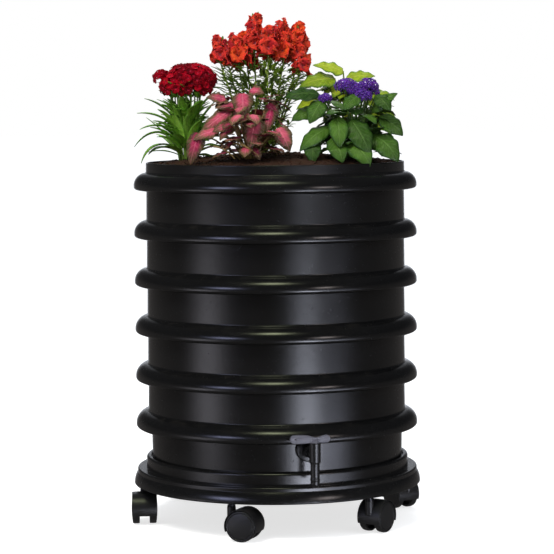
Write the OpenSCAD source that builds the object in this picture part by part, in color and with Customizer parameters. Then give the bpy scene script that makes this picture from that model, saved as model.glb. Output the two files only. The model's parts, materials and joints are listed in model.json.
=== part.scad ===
// Stacking planter tower: five trays and a planter tray over a reservoir bowl with a tap,
// on a round base that rolls on six twin-wheel swivel casters.
// Millimetres. +Z is up, the origin is on the floor under the tower's axis, and -Y is the front.

/* [Trays] */
// Number of working trays between the reservoir and the planter tray
tray_count = 5; // [2:1:6]
// Height from one tray's bead to the next
tray_pitch = 65.6; // [60:0.2:80]
// Outer radius of a tray wall at its foot
wall_r = 178.2; // [176:0.2:180]
// Wall thickness of trays and bowls
wall_t = 2.5; // [2:0.1:3]
// Radius of the rolled bead's section
bead_r = 17.5; // [14:0.5:18]
// Height of the planter tray's collar above its bead's widest line
collar_h = 31.5; // [25:0.5:45]
// Depth of the planter bowl below the bead's widest line
bowl_depth = 19; // [10:1:24]

/* [Base] */
// Radius of the base at its bottom edge
skirt_r = 198.7; // [196:0.1:202]
// Height of the base's bottom edge above the floor
skirt_z = 49.5; // [49:0.5:55]
// Height of the base's top edge above the floor
base_top_z = 88.5; // [88:0.5:96]

/* [Casters] */
// Radius of the circle that the caster stems stand on
stem_circle_r = 187; // [184:0.5:188]
// Diameter of a caster wheel
wheel_d = 42; // [38:1:42]
// Distance from the swivel axis to the wheel axle
trail = 18; // [17:0.5:19]

/* [Tap] */
// Turn of the tap from the front, towards +X
tap_angle = 13; // [0:1:40]
// Distance of the tap's spout from the tower's axis
spout_r = 218; // [217:0.5:230]
// Height of the tap's inlet above the floor
tap_z = 118; // [116:0.5:119]

/* [Hidden] */
$fn = 96;

// Caster stations: place on the circle and the way each caster trails at rest, in degrees
caster_count = 6;
first_caster = -79;
caster_heading = [-87, -20, 56, 122, 70, 190];

function tray_name(k) = str("tray_", k);
function caster_part(k, part) = str("caster_", k, "_", part);
caster_parts = ["hood", "stem", "axle", "wheel_left", "wheel_right"];
plant_names = ["plant_left", "plant_back", "plant_front", "plant_right", "plant_right_back"];

// Beads are numbered from the top: bead 1 is the planter tray's
lowest_bead_z = base_top_z + 45;
function bead_z(k) = lowest_bead_z + (tray_count + 1 - k) * tray_pitch;
bead_inset = 0.7;
bead_centre_r = wall_r - bead_inset;
bead_r_max = bead_centre_r + bead_r;
bead_lip_r = 4;
bead_lip_w = 6.5;
bead_drop = 5.5;
bead_mouth_r = bead_r_max - bead_lip_w;
foot_fillet = 2;
foot_join = 0.5;
floor_under = 14;
floor_t = 3;
rest_gap = 0.3;
rim_above_bead = floor_under - rest_gap;
rim_inset = 0.8;
rim_r = wall_r - rim_inset;
plug_ring_r = 172;
plug_ring_h = 8;
bowl_taper = 3;
far = 400;

// Reservoir bowl
bowl_top_r = 173.9;
bowl_foot_r = 173.2;
seat_depth = 3.8;
bowl_foot_z = base_top_z - seat_depth + rest_gap;

// Base rings
ring_a_r = 181.4;
ring_b_r = 194;
ring_b_top_z = skirt_z + 22;
skirt_h = 15;
ring_b_low_z = skirt_z + skirt_h;
shell_t = 3;
skirt_top_r = ring_b_r + 0.8;
skirt_flare = skirt_r - skirt_top_r;
skirt_arc_r = (skirt_flare * skirt_flare + skirt_h * skirt_h) / (2 * skirt_flare);
seat_z = base_top_z - seat_depth;
seat_r = 175.2;
rib_count = 12;
rib_t = 2.5;
rib_low_z = 74;
socket_r = 6.5;
stem_r = 4;
socket_low_z = skirt_z + 1.5;
socket_top_z = ring_b_top_z - 3.5;

// Casters
wheel_r = wheel_d / 2;
wheel_w = 11;
wheel_in = 6.75;
web_half = 6.2;
fender_gap = 0.6;
fender_r = wheel_r + 1.8;
fender_half = 17;
fender_low_z = 13;
axle_r = 2.5;
axle_half = 14.6;
hood_top_z = fender_r + wheel_r + 1.2;
boss_r = 5.8;
boss_low_z = 24;
running = 0.05;

// Tap
sleeve_r = 7.5;
sleeve_low_z = tap_z - 10.5;
sleeve_top_z = tap_z + 10.8;
spout_tip_z = tap_z - 42;
spout_tube_r = 6;
plug_bore_r = 5;
plug_low_z = tap_z - 14;
flange_r = 15.5;
flange_t = 4;
flange_at_r = 176.4;
tail_r = 9;
tail_bore_r = tail_r + 0.05;
wall_hole_r = tail_r + 0.2;
tail_in_r = 156;
handle_z = sleeve_top_z + 5.3;
handle_t = 5;

// Plants: place, radius of the leaves, top of the leaves, then radius, underside and top of the bloom
plants = [
    [[-122, -12], 57, 578, 43, 582, 630],
    [[-20, 62], 58, 606, 68, 610, 700],
    [[-35, -96], 55, 588, 0, 0, 0],
    [[106, -58], 60, 580, 46, 583, 607],
    [[106, 68], 60, 628, 0, 0, 0]
];
root_r = 20;
root_z = 452;
stalk_r = 9;

function at_angle(r, a) = [r * sin(a), -r * cos(a)];
function caster_angle(k) = first_caster + (k - 1) * 360 / caster_count;

// ---------------------------------------------------------------- trays

// Points along an arc, from one angle to another
function arc(centre, r, from, to, steps) =
    [for (i = [0:steps]) let (a = from + (to - from) * i / steps) centre + r * [cos(a), sin(a)]];

// Concave blend where the wall stands on the bead: its centre, and its angle seen from the bead's
// centre. It stops foot_join short of its centre's radius, where it meets the wall's slight draft.
blend_reach = bead_r + foot_fillet;
blend_angle = acos((wall_r + foot_fillet - bead_centre_r) / blend_reach);
blend_centre = [bead_centre_r, 0] + blend_reach * [cos(blend_angle), sin(blend_angle)];
lip_centre = [bead_r_max - bead_lip_r, -bead_drop + bead_lip_r];

// Bead shell, from under the floor out through its hollow, round its lip and up to the wall's foot.
// Height 0 is the bead's widest line.
bead_path = concat(
    [[bead_centre_r, floor_under]],
    arc([bead_centre_r, 0], bead_r - wall_t, 90, 0, 16),
    arc(lip_centre, bead_lip_r - wall_t, 0, -90, 4),
    [[bead_mouth_r, -bead_drop + wall_t], [bead_mouth_r, -bead_drop]],
    arc(lip_centre, bead_lip_r, -90, 0, 8),
    arc([bead_centre_r, 0], bead_r, 0, blend_angle, 24),
    [for (point = arc(blend_centre, foot_fillet, blend_angle + 180, 180, 5))
        if (point[0] < blend_centre[0] - foot_join) point]
);

// Rings of round holes through a floor
module floor_holes(rings, hole_r, low, high) {
    for (ring = rings)
        for (i = [0:ring[1] - 1])
            rotate([0, 0, (i + 0.5) * 360 / ring[1]])
                translate([ring[0], 0, low - 1])
                    cylinder(r = hole_r, h = high - low + 2, $fn = 24);
}

module tray(k) {
    rim_z = tray_pitch + rim_above_bead;
    inner_r = wall_r - wall_t;
    color([0.09, 0.09, 0.10])
        translate([0, 0, bead_z(k + 1)])
            difference() {
                rotate_extrude()
                    polygon(concat(
                        [[0, floor_under], [plug_ring_r - wall_t, floor_under]],
                        [[plug_ring_r - wall_t, floor_under - plug_ring_h]],
                        [[plug_ring_r, floor_under - plug_ring_h], [plug_ring_r, floor_under]],
                        bead_path,
                        [[rim_r, rim_z], [rim_r - wall_t, rim_z]],
                        [[inner_r, floor_under + floor_t + 2], [inner_r - 2, floor_under + floor_t]],
                        [[0, floor_under + floor_t]]
                    ));
                floor_holes([[40, 8], [80, 16], [120, 24]], 4, floor_under, floor_under + floor_t);
            }
}

// Planter tray: collar, bead and a bowl that hangs inside the tray below
module planter_tray() {
    bowl_floor = -bowl_depth;
    bowl_foot = plug_ring_r - bowl_taper;
    ledge_z = floor_under + floor_t;
    color([0.09, 0.09, 0.10])
        translate([0, 0, bead_z(1)])
            difference() {
                rotate_extrude()
                    polygon(concat(
                        [[0, bowl_floor], [bowl_foot, bowl_floor], [plug_ring_r, floor_under]],
                        bead_path,
                        [[wall_r - 0.2, collar_h], [wall_r - wall_t - 0.2, collar_h]],
                        [[wall_r - wall_t, ledge_z], [plug_ring_r - wall_t, ledge_z]],
                        [[bowl_foot - wall_t, bowl_floor + floor_t], [0, bowl_floor + floor_t]]
                    ));
                floor_holes([[60, 6], [120, 12]], 4, bowl_floor, bowl_floor + floor_t);
            }
}

// ---------------------------------------------------------------- reservoir and base

module reservoir() {
    flare_z = lowest_bead_z + 3;
    flare_h = 3.5;
    rim_z = lowest_bead_z + rim_above_bead;
    color([0.09, 0.09, 0.10])
        difference() {
            rotate_extrude()
                polygon([
                    [0, bowl_foot_z],
                    [bowl_foot_r - 2, bowl_foot_z],
                    [bowl_foot_r, bowl_foot_z + 2],
                    [bowl_top_r, flare_z - flare_h],
                    [rim_r, flare_z],
                    [rim_r, rim_z],
                    [rim_r - wall_t, rim_z],
                    [rim_r - wall_t, flare_z + 1],
                    [bowl_top_r - wall_t, flare_z - flare_h + 1],
                    [bowl_foot_r - wall_t, bowl_foot_z + floor_t + 2],
                    [bowl_foot_r - wall_t - 2, bowl_foot_z + floor_t],
                    [0, bowl_foot_z + floor_t]
                ]);
            along_tap(tail_in_r)
                cylinder(r = wall_hole_r, h = 30);
        }
}

module base() {
    color([0.09, 0.09, 0.10])
        difference() {
            union() {
                rotate_extrude()
                    base_rings();
                base_hub();
                base_ribs();
                base_sockets();
            }
            for (k = [1:caster_count])
                translate(concat(at_angle(stem_circle_r, caster_angle(k)), [socket_low_z - 1]))
                    cylinder(r = stem_r, h = socket_top_z - socket_low_z + 1);
        }
}

// Half section of the base's plate, rings and skirt
module base_rings() {
    plate_z = seat_z - shell_t;
    edge_a = 3.5;
    edge_b = 2;
    skirt_centre = [skirt_r - skirt_arc_r, skirt_z];
    inner_arc_r = skirt_arc_r - shell_t;
    polygon(concat(
        arc(skirt_centre, skirt_arc_r, 0, asin(skirt_h / skirt_arc_r), 8),
        [[ring_b_r, ring_b_low_z]],
        arc([ring_b_r - edge_b, ring_b_top_z - edge_b], edge_b, 0, 90, 4),
        [[ring_a_r, ring_b_top_z]],
        arc([ring_a_r - edge_a, base_top_z - edge_a], edge_a, 0, 90, 6),
        [[seat_r, base_top_z], [seat_r, seat_z], [0, seat_z], [0, plate_z]],
        [[ring_a_r - shell_t, plate_z], [ring_a_r - shell_t, ring_b_top_z - shell_t]],
        [[ring_b_r - shell_t, ring_b_top_z - shell_t], [ring_b_r - shell_t, ring_b_low_z + 1]],
        arc(skirt_centre, inner_arc_r, asin(skirt_h / inner_arc_r), 0, 8)
    ));
}

module base_hub() {
    hub_r = 24;
    hub_t = 4;
    translate([0, 0, rib_low_z])
        difference() {
            cylinder(r = hub_r, h = seat_z - rib_low_z - 1);
            translate([0, 0, -1])
                cylinder(r = hub_r - hub_t, h = far);
        }
}

module base_ribs() {
    for (i = [0:rib_count - 1])
        rotate([0, 0, first_caster + i * 360 / rib_count])
            translate([-rib_t / 2, -ring_a_r + 2, rib_low_z])
                cube([rib_t, ring_a_r - 24, seat_z - rib_low_z - 1]);
}

module base_sockets() {
    for (k = [1:caster_count])
        translate(concat(at_angle(stem_circle_r, caster_angle(k)), [socket_low_z]))
            cylinder(r = socket_r, h = ring_b_top_z - 1 - socket_low_z);
}

// ---------------------------------------------------------------- casters

// Puts its children at a caster: origin under the swivel axis, +X the way it trails
module at_caster(k) {
    translate(concat(at_angle(stem_circle_r, caster_angle(k)), [0]))
        rotate([0, 0, caster_heading[k - 1]])
            children();
}

// Turns a solid of revolution onto the axle: its own +Z becomes the caster's +Y
module on_axle() {
    translate([trail, 0, wheel_r])
        rotate([-90, 0, 0])
            children();
}

module caster_hood(k) {
    edge = 3;
    color([0.10, 0.10, 0.11])
        at_caster(k)
            difference() {
                union() {
                    intersection() {
                        on_axle()
                            rotate_extrude() {
                                // fender over both wheels, with rounded ends
                                translate([wheel_r + fender_gap, -fender_half])
                                    square([fender_r - wheel_r - fender_gap, 2 * fender_half]);
                                // web between the wheels
                                translate([0, -web_half])
                                    square([fender_r - 0.4, 2 * web_half]);
                            }
                        translate([trail, 0, fender_low_z + far / 2])
                            cube(far, center = true);
                    }
                    translate([0, 0, boss_low_z])
                        cylinder(r = boss_r, h = hood_top_z - boss_low_z);
                    translate([0, -web_half + 1, fender_low_z + edge])
                        cube([trail, 2 * web_half - 2, hood_top_z - fender_low_z - 3 * edge]);
                }
                translate([0, 0, boss_low_z + edge])
                    cylinder(r = stem_r + running, h = far);
                on_axle()
                    cylinder(r = axle_r, h = far, center = true);
            }
}

module caster_stem(k) {
    collar_r = 5.4;
    color([0.62, 0.62, 0.64])
        at_caster(k) {
            translate([0, 0, boss_low_z + 3.5])
                cylinder(r = stem_r, h = socket_top_z - boss_low_z - 4);
            translate([0, 0, hood_top_z + rest_gap])
                cylinder(r = collar_r, h = 1.5);
        }
}

module caster_axle(k) {
    color([0.62, 0.62, 0.64])
        at_caster(k)
            on_axle()
                cylinder(r = axle_r, h = 2 * axle_half, center = true);
}

// Half section of a wheel: its rim, its domed outer disc and its hub
module wheel_section() {
    rim_t = 3;
    disc_t = 2.4;
    edge = 1.7;
    dome_r = 90;
    dome = 1.2;
    difference() {
        intersection() {
            union() {
                square([wheel_r - edge, wheel_w]);
                translate([0, edge])
                    square([wheel_r, wheel_w - 2 * edge]);
                translate([wheel_r - edge, edge])
                    circle(r = edge);
                translate([wheel_r - edge, wheel_w - edge])
                    circle(r = edge);
            }
            translate([0, wheel_w - dome_r])
                circle(r = dome_r, $fn = 360);
            square([wheel_r, wheel_w]);
        }
        // hollow on the inner side, around the hub
        translate([axle_r + 3, -1])
            square([wheel_r - rim_t - axle_r - 3, wheel_w - disc_t - dome + 1]);
        // blind bore
        translate([0, -1])
            square([axle_r + running, axle_half - wheel_in + 1.3]);
    }
}

module caster_wheel(k, side) {
    color([0.07, 0.07, 0.08])
        at_caster(k)
            on_axle()
                mirror([0, 0, side < 0 ? 1 : 0])
                    translate([0, 0, wheel_in])
                        rotate_extrude()
                            wheel_section();
}

// ---------------------------------------------------------------- tap

// Lays its children along the tap's inlet: +Z points out of the tower, from radius r
module along_tap(r) {
    translate([0, 0, tap_z])
        rotate([0, 0, tap_angle])
            translate([0, -r, 0])
                rotate([90, 0, 0])
                    children();
}

module at_spout() {
    rotate([0, 0, tap_angle])
        translate([0, -spout_r, 0])
            children();
}

module tap_body() {
    tip = 3;
    barrel_r = 8;
    duct_r = 4.5;
    spout_bore_r = 4;
    color([0.10, 0.10, 0.11])
        difference() {
            union() {
                along_tap(tail_in_r)
                    cylinder(r = tail_r, h = flange_at_r - tail_in_r + 1);
                along_tap(flange_at_r)
                    cylinder(r = flange_r, h = flange_t);
                along_tap(flange_at_r)
                    cylinder(r = barrel_r, h = spout_r - flange_at_r);
                at_spout() {
                    translate([0, 0, sleeve_low_z])
                        cylinder(r = sleeve_r, h = sleeve_top_z - sleeve_low_z);
                    translate([0, 0, spout_tip_z + tip])
                        cylinder(r = spout_tube_r, h = sleeve_low_z - spout_tip_z);
                    translate([0, 0, spout_tip_z])
                        cylinder(r1 = spout_tube_r - 1.2, r2 = spout_tube_r, h = tip);
                }
            }
            along_tap(tail_in_r - 1)
                cylinder(r = duct_r, h = spout_r - tail_in_r + 1);
            at_spout() {
                translate([0, 0, plug_low_z - rest_gap])
                    cylinder(r = plug_bore_r, h = far);
                translate([0, 0, spout_tip_z - 1])
                    cylinder(r = spout_bore_r, h = far);
            }
        }
}

// Rubber washer between the flange and the round wall
module tap_washer() {
    washer_in_r = 172;
    color([0.05, 0.05, 0.05])
        difference() {
            along_tap(washer_in_r)
                cylinder(r = flange_r - 1, h = flange_at_r - washer_in_r);
            along_tap(tail_in_r)
                cylinder(r = tail_bore_r, h = 30);
            cylinder(r = bowl_top_r + 0.1, h = far, $fn = 180);
        }
}

// Hexagonal lock nut on the tail, inside the bowl
module tap_nut() {
    nut_r = 15;
    nut_h = 6;
    nut_at_r = 163.6;
    color([0.10, 0.10, 0.11])
        difference() {
            along_tap(nut_at_r)
                cylinder(r = nut_r, h = nut_h, $fn = 6);
            along_tap(tail_in_r)
                cylinder(r = tail_bore_r, h = 30);
        }
}

// Handle outline, seen from the front: two round lobes joined by a waist
module handle_outline() {
    long_end = -27.5;
    neck = -12;
    waist = [2, -1.6];
    short_end = 15;
    lobe_r = 5.5;
    neck_r = 4.9;
    waist_r = 3.3;
    end_r = 4.9;
    difference() {
        hull() {
            translate([long_end, 0])
                circle(r = lobe_r, $fn = 32);
            translate([neck, 0])
                circle(r = neck_r, $fn = 32);
        }
        translate([long_end + 1, 0.4])
            circle(r = 1);
    }
    hull() {
        translate([neck, 0])
            circle(r = neck_r, $fn = 32);
        translate(waist)
            circle(r = waist_r, $fn = 32);
    }
    hull() {
        translate(waist)
            circle(r = waist_r, $fn = 32);
        translate([short_end, 0])
            circle(r = end_r, $fn = 32);
    }
}

// Handle and the plug that turns in the tap's sleeve, closed at rest
module tap_handle() {
    plug_r = plug_bore_r - running;
    way_r = 2.5;
    color([0.16, 0.16, 0.18])
        difference() {
            union() {
                at_spout() {
                    translate([0, 0, plug_low_z])
                        cylinder(r = plug_r, h = handle_z - plug_low_z);
                    translate([0, 0, sleeve_top_z + rest_gap])
                        cylinder(r = sleeve_r, h = 1.6);
                    translate([0, handle_t / 2, handle_z])
                        rotate([90, 0, 0])
                            linear_extrude(handle_t)
                                handle_outline();
                }
            }
            at_spout() {
                // passage: in from the side, out at the bottom
                translate([0, 0, plug_low_z - 1])
                    cylinder(r = way_r, h = tap_z - plug_low_z + 1);
                translate([0, 0, tap_z])
                    rotate([0, 90, 0])
                        cylinder(r = way_r, h = 20);
                // groove for the O-ring
                translate([0, 0, tap_z + 5])
                    rotate_extrude()
                        translate([plug_bore_r - 1.7, 0])
                            square([3, 1.8]);
            }
        }
}

module tap_o_ring() {
    color([0.05, 0.05, 0.05])
        at_spout()
            translate([0, 0, tap_z + 5.9])
                rotate_extrude()
                    translate([plug_bore_r - 0.88, 0])
                        circle(r = 0.8);
}

// ---------------------------------------------------------------- soil and plants

module soil() {
    soil_gap = 0.3;
    floor_z = bead_z(1) - bowl_depth + floor_t + soil_gap;
    ledge_z = bead_z(1) + floor_under + floor_t + soil_gap;
    edge_z = bead_z(1) + collar_h - 3;
    dome = 15;
    edge_r = wall_r - wall_t - soil_gap - 0.3;
    foot_r = plug_ring_r - bowl_taper - wall_t - soil_gap;
    dome_r = (edge_r * edge_r + dome * dome) / (2 * dome);
    color([0.20, 0.13, 0.08])
        difference() {
            rotate_extrude() {
                polygon([
                    [0, floor_z],
                    [foot_r, floor_z],
                    [plug_ring_r - wall_t - soil_gap, ledge_z],
                    [edge_r, ledge_z],
                    [edge_r, edge_z],
                    [0, edge_z]
                ]);
                translate([0, edge_z + dome - dome_r])
                    intersection() {
                        circle(r = dome_r, $fn = 720);
                        translate([0, dome_r - dome - 0.1])
                            square([edge_r, dome + 1]);
                    }
            }
            for (plant = plants)
                translate(concat(plant[0], [root_z]))
                    cylinder(r = root_r, h = far);
        }
}

// A plant's bulk: root ball, stalk, crown of leaves and, where it has one, its bloom
module plant_bulk(i) {
    plant = plants[i];
    leaf_r = plant[1];
    leaf_top = plant[2];
    leaf_low = 512;
    translate(concat(plant[0], [0]))
        rotate_extrude() {
            translate([0, root_z + 0.3])
                square([root_r - 0.3, 30]);
            translate([0, root_z + 1])
                square([stalk_r, leaf_top - root_z]);
            polygon([
                [0, leaf_low],
                [leaf_r * 0.6, leaf_low],
                [leaf_r, leaf_low + (leaf_top - leaf_low) * 0.4],
                [leaf_r * 0.85, leaf_top - 8],
                [leaf_r * 0.5, leaf_top],
                [0, leaf_top]
            ]);
            if (plant[3] > 0)
                polygon([
                    [0, plant[4] - 5],
                    [plant[3] * 0.5, plant[4]],
                    [plant[3], (2 * plant[4] + plant[5]) / 3],
                    [plant[3] * 0.8, plant[5] - (plant[5] - plant[4]) * 0.25],
                    [plant[3] * 0.35, plant[5]],
                    [0, plant[5]]
                ]);
        }
}

plant_colours = [
    [0.45, 0.05, 0.08],
    [0.85, 0.22, 0.15],
    [0.70, 0.20, 0.35],
    [0.35, 0.20, 0.55],
    [0.50, 0.62, 0.15]
];

module plant(i) {
    color(plant_colours[i])
        plant_bulk(i);
}

// ---------------------------------------------------------------- parts drawn

base();
reservoir();
tap_body();
tap_washer();
tap_nut();
tap_handle();
tap_o_ring();
for (k = [1:tray_count])
    tray(k);
planter_tray();
soil();
for (i = [0:len(plants) - 1])
    plant(i);
for (k = [1:caster_count]) {
    caster_hood(k);
    caster_stem(k);
    caster_axle(k);
    caster_wheel(k, 1);
    caster_wheel(k, -1);
}
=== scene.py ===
"""Looks of the stacking planter tower: satin black trays, tap, twin-wheel casters, soil and flowers.

Metres throughout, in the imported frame: +Z is up, -Y is the front and the origin is on the floor.
"""

import json
import math
import random

import bmesh
import bpy
from mathutils import Matrix, Vector, noise


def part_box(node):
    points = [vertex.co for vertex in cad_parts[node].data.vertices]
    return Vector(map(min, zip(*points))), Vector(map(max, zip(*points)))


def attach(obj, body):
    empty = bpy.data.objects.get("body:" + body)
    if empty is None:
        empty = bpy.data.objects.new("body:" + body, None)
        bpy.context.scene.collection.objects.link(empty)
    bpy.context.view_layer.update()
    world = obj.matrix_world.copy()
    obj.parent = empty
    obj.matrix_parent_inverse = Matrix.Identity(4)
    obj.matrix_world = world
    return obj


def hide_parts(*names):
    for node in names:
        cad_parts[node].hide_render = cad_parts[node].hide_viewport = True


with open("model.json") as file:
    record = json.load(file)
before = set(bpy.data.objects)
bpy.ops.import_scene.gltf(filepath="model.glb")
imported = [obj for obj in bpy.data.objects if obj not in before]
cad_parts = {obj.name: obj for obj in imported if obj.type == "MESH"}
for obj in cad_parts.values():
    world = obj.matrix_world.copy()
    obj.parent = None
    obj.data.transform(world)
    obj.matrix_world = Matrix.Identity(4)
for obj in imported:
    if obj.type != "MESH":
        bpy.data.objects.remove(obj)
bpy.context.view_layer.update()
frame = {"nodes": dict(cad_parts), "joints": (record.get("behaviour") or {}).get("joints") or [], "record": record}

MM = 0.001
UP = Vector((0, 0, 1))
GOLDEN = 2.39996  # radians from one leaf to the next on a stem
TURN = 6.28  # a full turn, for angles drawn at random
TRAYS = range(1, 6)
CASTERS = range(1, 7)
record = frame["record"]
joints = {joint["name"]: joint for joint in frame["joints"]}


# ------------------------------------------------------------------ camera, floor and light

def add_camera():
    """Eye just above the plants' leaves, a little over three metres in front, tilted slightly down."""
    data = bpy.data.cameras.new("camera")
    data.sensor_width = 36
    data.lens = 147.7
    data.clip_start = 0.1
    data.clip_end = 60
    camera = bpy.data.objects.new("camera", data)
    bpy.context.collection.objects.link(camera)
    camera.location = (0, -3.138, 0.5855)
    tilt, roll, turn = 90 - 4.6, 0.45, -0.065
    camera.rotation_euler = [math.radians(degrees) for degrees in (tilt, roll, turn)]
    bpy.context.scene.camera = camera


class Graph:
    """Adds shader nodes. An input may be a plain value or another node's output."""

    def __init__(self, tree):
        self.tree = tree
        tree.nodes.clear()

    def add(self, kind, inputs=None, **settings):
        node = self.tree.nodes.new(kind)
        for key, value in settings.items():
            setattr(node, key, value)
        for key, value in (inputs or {}).items():
            if isinstance(value, bpy.types.NodeSocket):
                self.tree.links.new(value, node.inputs[key])
            else:
                node.inputs[key].default_value = value
        return node

    def math(self, operation, a, b=0.0, clamp=False):
        return self.add("ShaderNodeMath", {0: a, 1: b}, operation=operation, use_clamp=clamp).outputs[0]

    def span(self, value, low, high, to_low=0.0, to_high=1.0):
        """Smoothly carries low..high over to to_low..to_high."""
        inputs = {"Value": value, "From Min": low, "From Max": high, "To Min": to_low, "To Max": to_high}
        return self.add("ShaderNodeMapRange", inputs, interpolation_type="SMOOTHSTEP").outputs[0]

    def mix(self, share, a, b):
        return self.add("ShaderNodeMix", {0: share, 6: a, 7: b}, data_type="RGBA").outputs[2]

    def noise(self, scale, detail=3.0, where=None):
        where = where or self.place()
        return self.add("ShaderNodeTexNoise", {"Vector": where, "Scale": scale, "Detail": detail}).outputs[0]

    def place(self):
        """The point's place in the object's own frame."""
        return self.add("ShaderNodeTexCoord").outputs["Object"]

    def attribute(self, name):
        return self.add("ShaderNodeAttribute", attribute_name=name).outputs["Fac"]

    def bump(self, height, distance, strength=1.0):
        inputs = {"Height": height, "Distance": distance, "Strength": strength}
        return self.add("ShaderNodeBump", inputs).outputs[0]

    def darken(self, body, shade):
        """The colour multiplied by a grey."""
        grey = self.add("ShaderNodeCombineColor", {0: shade, 1: shade, 2: shade}).outputs[0]
        inputs = {0: 1.0, 6: body, 7: grey}
        return self.add("ShaderNodeMix", inputs, data_type="RGBA", blend_type="MULTIPLY").outputs[2]

    def surface(self, inputs):
        shader = self.add("ShaderNodeBsdfPrincipled", inputs).outputs[0]
        self.add("ShaderNodeOutputMaterial", {0: shader})


def colour(r, g, b):
    return (r, g, b, 1.0)


def new_material(name):
    """A material without nodes, and the graph that fills it."""
    material = bpy.data.materials.new(name)
    material.use_nodes = True
    return material, Graph(material.node_tree)


def light_world():
    """White all round to the eye, a soft fill on rough surfaces, and a dark studio with
    a few soft panels in whatever shines."""
    panels = (
        # azimuth from the front, elevation, their half widths in degrees, colour, radiance
        (-62, -6.5, 15, 3.0, colour(0.92, 0.90, 1.0), 3.2),
        (26, -11.1, 11.5, 3.0, colour(0.82, 0.86, 1.0), 27.0),
        (50, -11.1, 15, 3.0, colour(0.78, 0.82, 1.0), 6.5),
        (-43, 14, 11, 5, colour(0.62, 0.66, 1.0), 8.5),
        (40, 14, 7, 4, colour(1.0, 0.88, 0.86), 10.0),
        (-4, 60, 16, 7, colour(0.85, 0.92, 0.58), 12.0),
        (180, -4, 9, 8, colour(0.88, 0.92, 1.0), 4.0),
        (180, 35, 12, 12, colour(0.9, 0.93, 1.0), 3.0),
    )
    world = bpy.data.worlds.new("studio")
    bpy.context.scene.world = world
    world.use_nodes = True
    g = Graph(world.node_tree)
    ray = g.add("ShaderNodeLightPath").outputs
    direction = g.add("ShaderNodeSeparateXYZ", {0: g.add("ShaderNodeTexCoord").outputs["Generated"]}).outputs
    azimuth = g.math("ARCTAN2", direction[0], g.math("MULTIPLY", direction[1], -1.0))
    elevation = g.math("ARCSINE", direction[2])
    sky = g.span(direction[2], -0.5, 0.9)
    low_wall = g.span(direction[2], -0.10, 0.25)
    seen = g.mix(low_wall, colour(0.110, 0.103, 0.100), colour(0.024, 0.024, 0.026))
    for turn, rise, half_turn, half_rise, tint, radiance in panels:
        off = g.math("WRAP", g.math("SUBTRACT", azimuth, math.radians(turn)), math.pi)
        off.node.inputs[2].default_value = -math.pi
        across = g.math("POWER", g.math("DIVIDE", off, math.radians(half_turn)), 2.0)
        lift = g.math("SUBTRACT", elevation, math.radians(rise))
        upright = g.math("POWER", g.math("DIVIDE", lift, math.radians(half_rise)), 2.0)
        glow = g.math("EXPONENT", g.math("MULTIPLY", g.math("ADD", across, upright), -1.0))
        panel = g.mix(g.math("MULTIPLY", glow, radiance), colour(0, 0, 0), tint)
        panel.node.clamp_factor = False
        inputs = {0: 1.0, 6: seen, 7: panel}
        seen = g.add("ShaderNodeMix", inputs, data_type="RGBA", blend_type="ADD").outputs[2]
    fill = g.mix(sky, colour(0.42, 0.40, 0.38), colour(0.62, 0.66, 0.72))
    lit = g.mix(ray["Is Glossy Ray"], fill, seen)
    shown = g.mix(ray["Is Camera Ray"], lit, colour(1, 1, 1))
    g.add("ShaderNodeOutputWorld", {0: g.add("ShaderNodeBackground", {0: shown, 1: 1.0}).outputs[0]})


def add_lamp(name, azimuth, elevation, distance, size, power, tint):
    """An area lamp aimed at the middle of the tower. It is left out of reflections."""
    a, e = math.radians(azimuth), math.radians(elevation)
    data = bpy.data.lights.new(name, "AREA")
    data.shape = "DISK"
    data.size = size
    data.energy = power
    data.color = tint
    lamp = bpy.data.objects.new(name, data)
    bpy.context.collection.objects.link(lamp)
    out = Vector((math.sin(a) * math.cos(e), -math.cos(a) * math.cos(e), math.sin(e)))
    lamp.location = out * distance + Vector((0, 0, 0.45))
    lamp.rotation_mode = "QUATERNION"
    lamp.rotation_quaternion = out.to_track_quat("Z", "Y")
    lamp.visible_glossy = False


def floor_material():
    """Pale matt floor with a faint mottle, lifted so that it stays as pale far away as near."""
    material, g = new_material("floor_pale")
    tone = g.mix(g.noise(3.0), colour(0.54, 0.54, 0.54), colour(0.58, 0.58, 0.58))
    inputs = {
        "Base Color": tone,
        "Roughness": 0.9,
        "Specular IOR Level": 0.0,
        "Emission Color": colour(1, 1, 1),
        "Emission Strength": 0.72,
    }
    g.surface(inputs)
    return material


def add_floor():
    """A round pale floor, kept out of reflections so that the tower stays black. Only its
    near part lights what stands on it."""
    material = floor_material()
    near_r, far_r = 0.36, 30.0
    for name, inner, outer, near in (("floor_near", 0.0, near_r, True), ("floor_far", near_r, far_r, False)):
        outline = [(inner, 0.0), (outer, 0.0)]
        disc = lathe(name, outline, 96, closed=False)
        disc.data.materials.append(material)
        disc.visible_glossy = False
        disc.visible_diffuse = near


# ------------------------------------------------------------------ mesh helpers

def new_object(name, verts, faces, sharp_degrees=40):
    """A smooth-shaded mesh object, sharp where its faces meet at more than an angle."""
    mesh = bpy.data.meshes.new(name)
    mesh.from_pydata([tuple(v) for v in verts], [], faces)
    mesh.validate()
    mesh.polygons.foreach_set("use_smooth", [True] * len(mesh.polygons))
    mesh.set_sharp_from_angle(angle=math.radians(sharp_degrees))
    mesh.update()
    obj = bpy.data.objects.new(name, mesh)
    bpy.context.collection.objects.link(obj)
    return obj


def arc(centre_r, centre_z, radius, start, stop, steps):
    """Points (r, z) along an arc, from one angle to the other in degrees."""
    angles = [math.radians(start + (stop - start) * i / steps) for i in range(steps + 1)]
    return [(centre_r + radius * math.cos(a), centre_z + radius * math.sin(a)) for a in angles]


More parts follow.
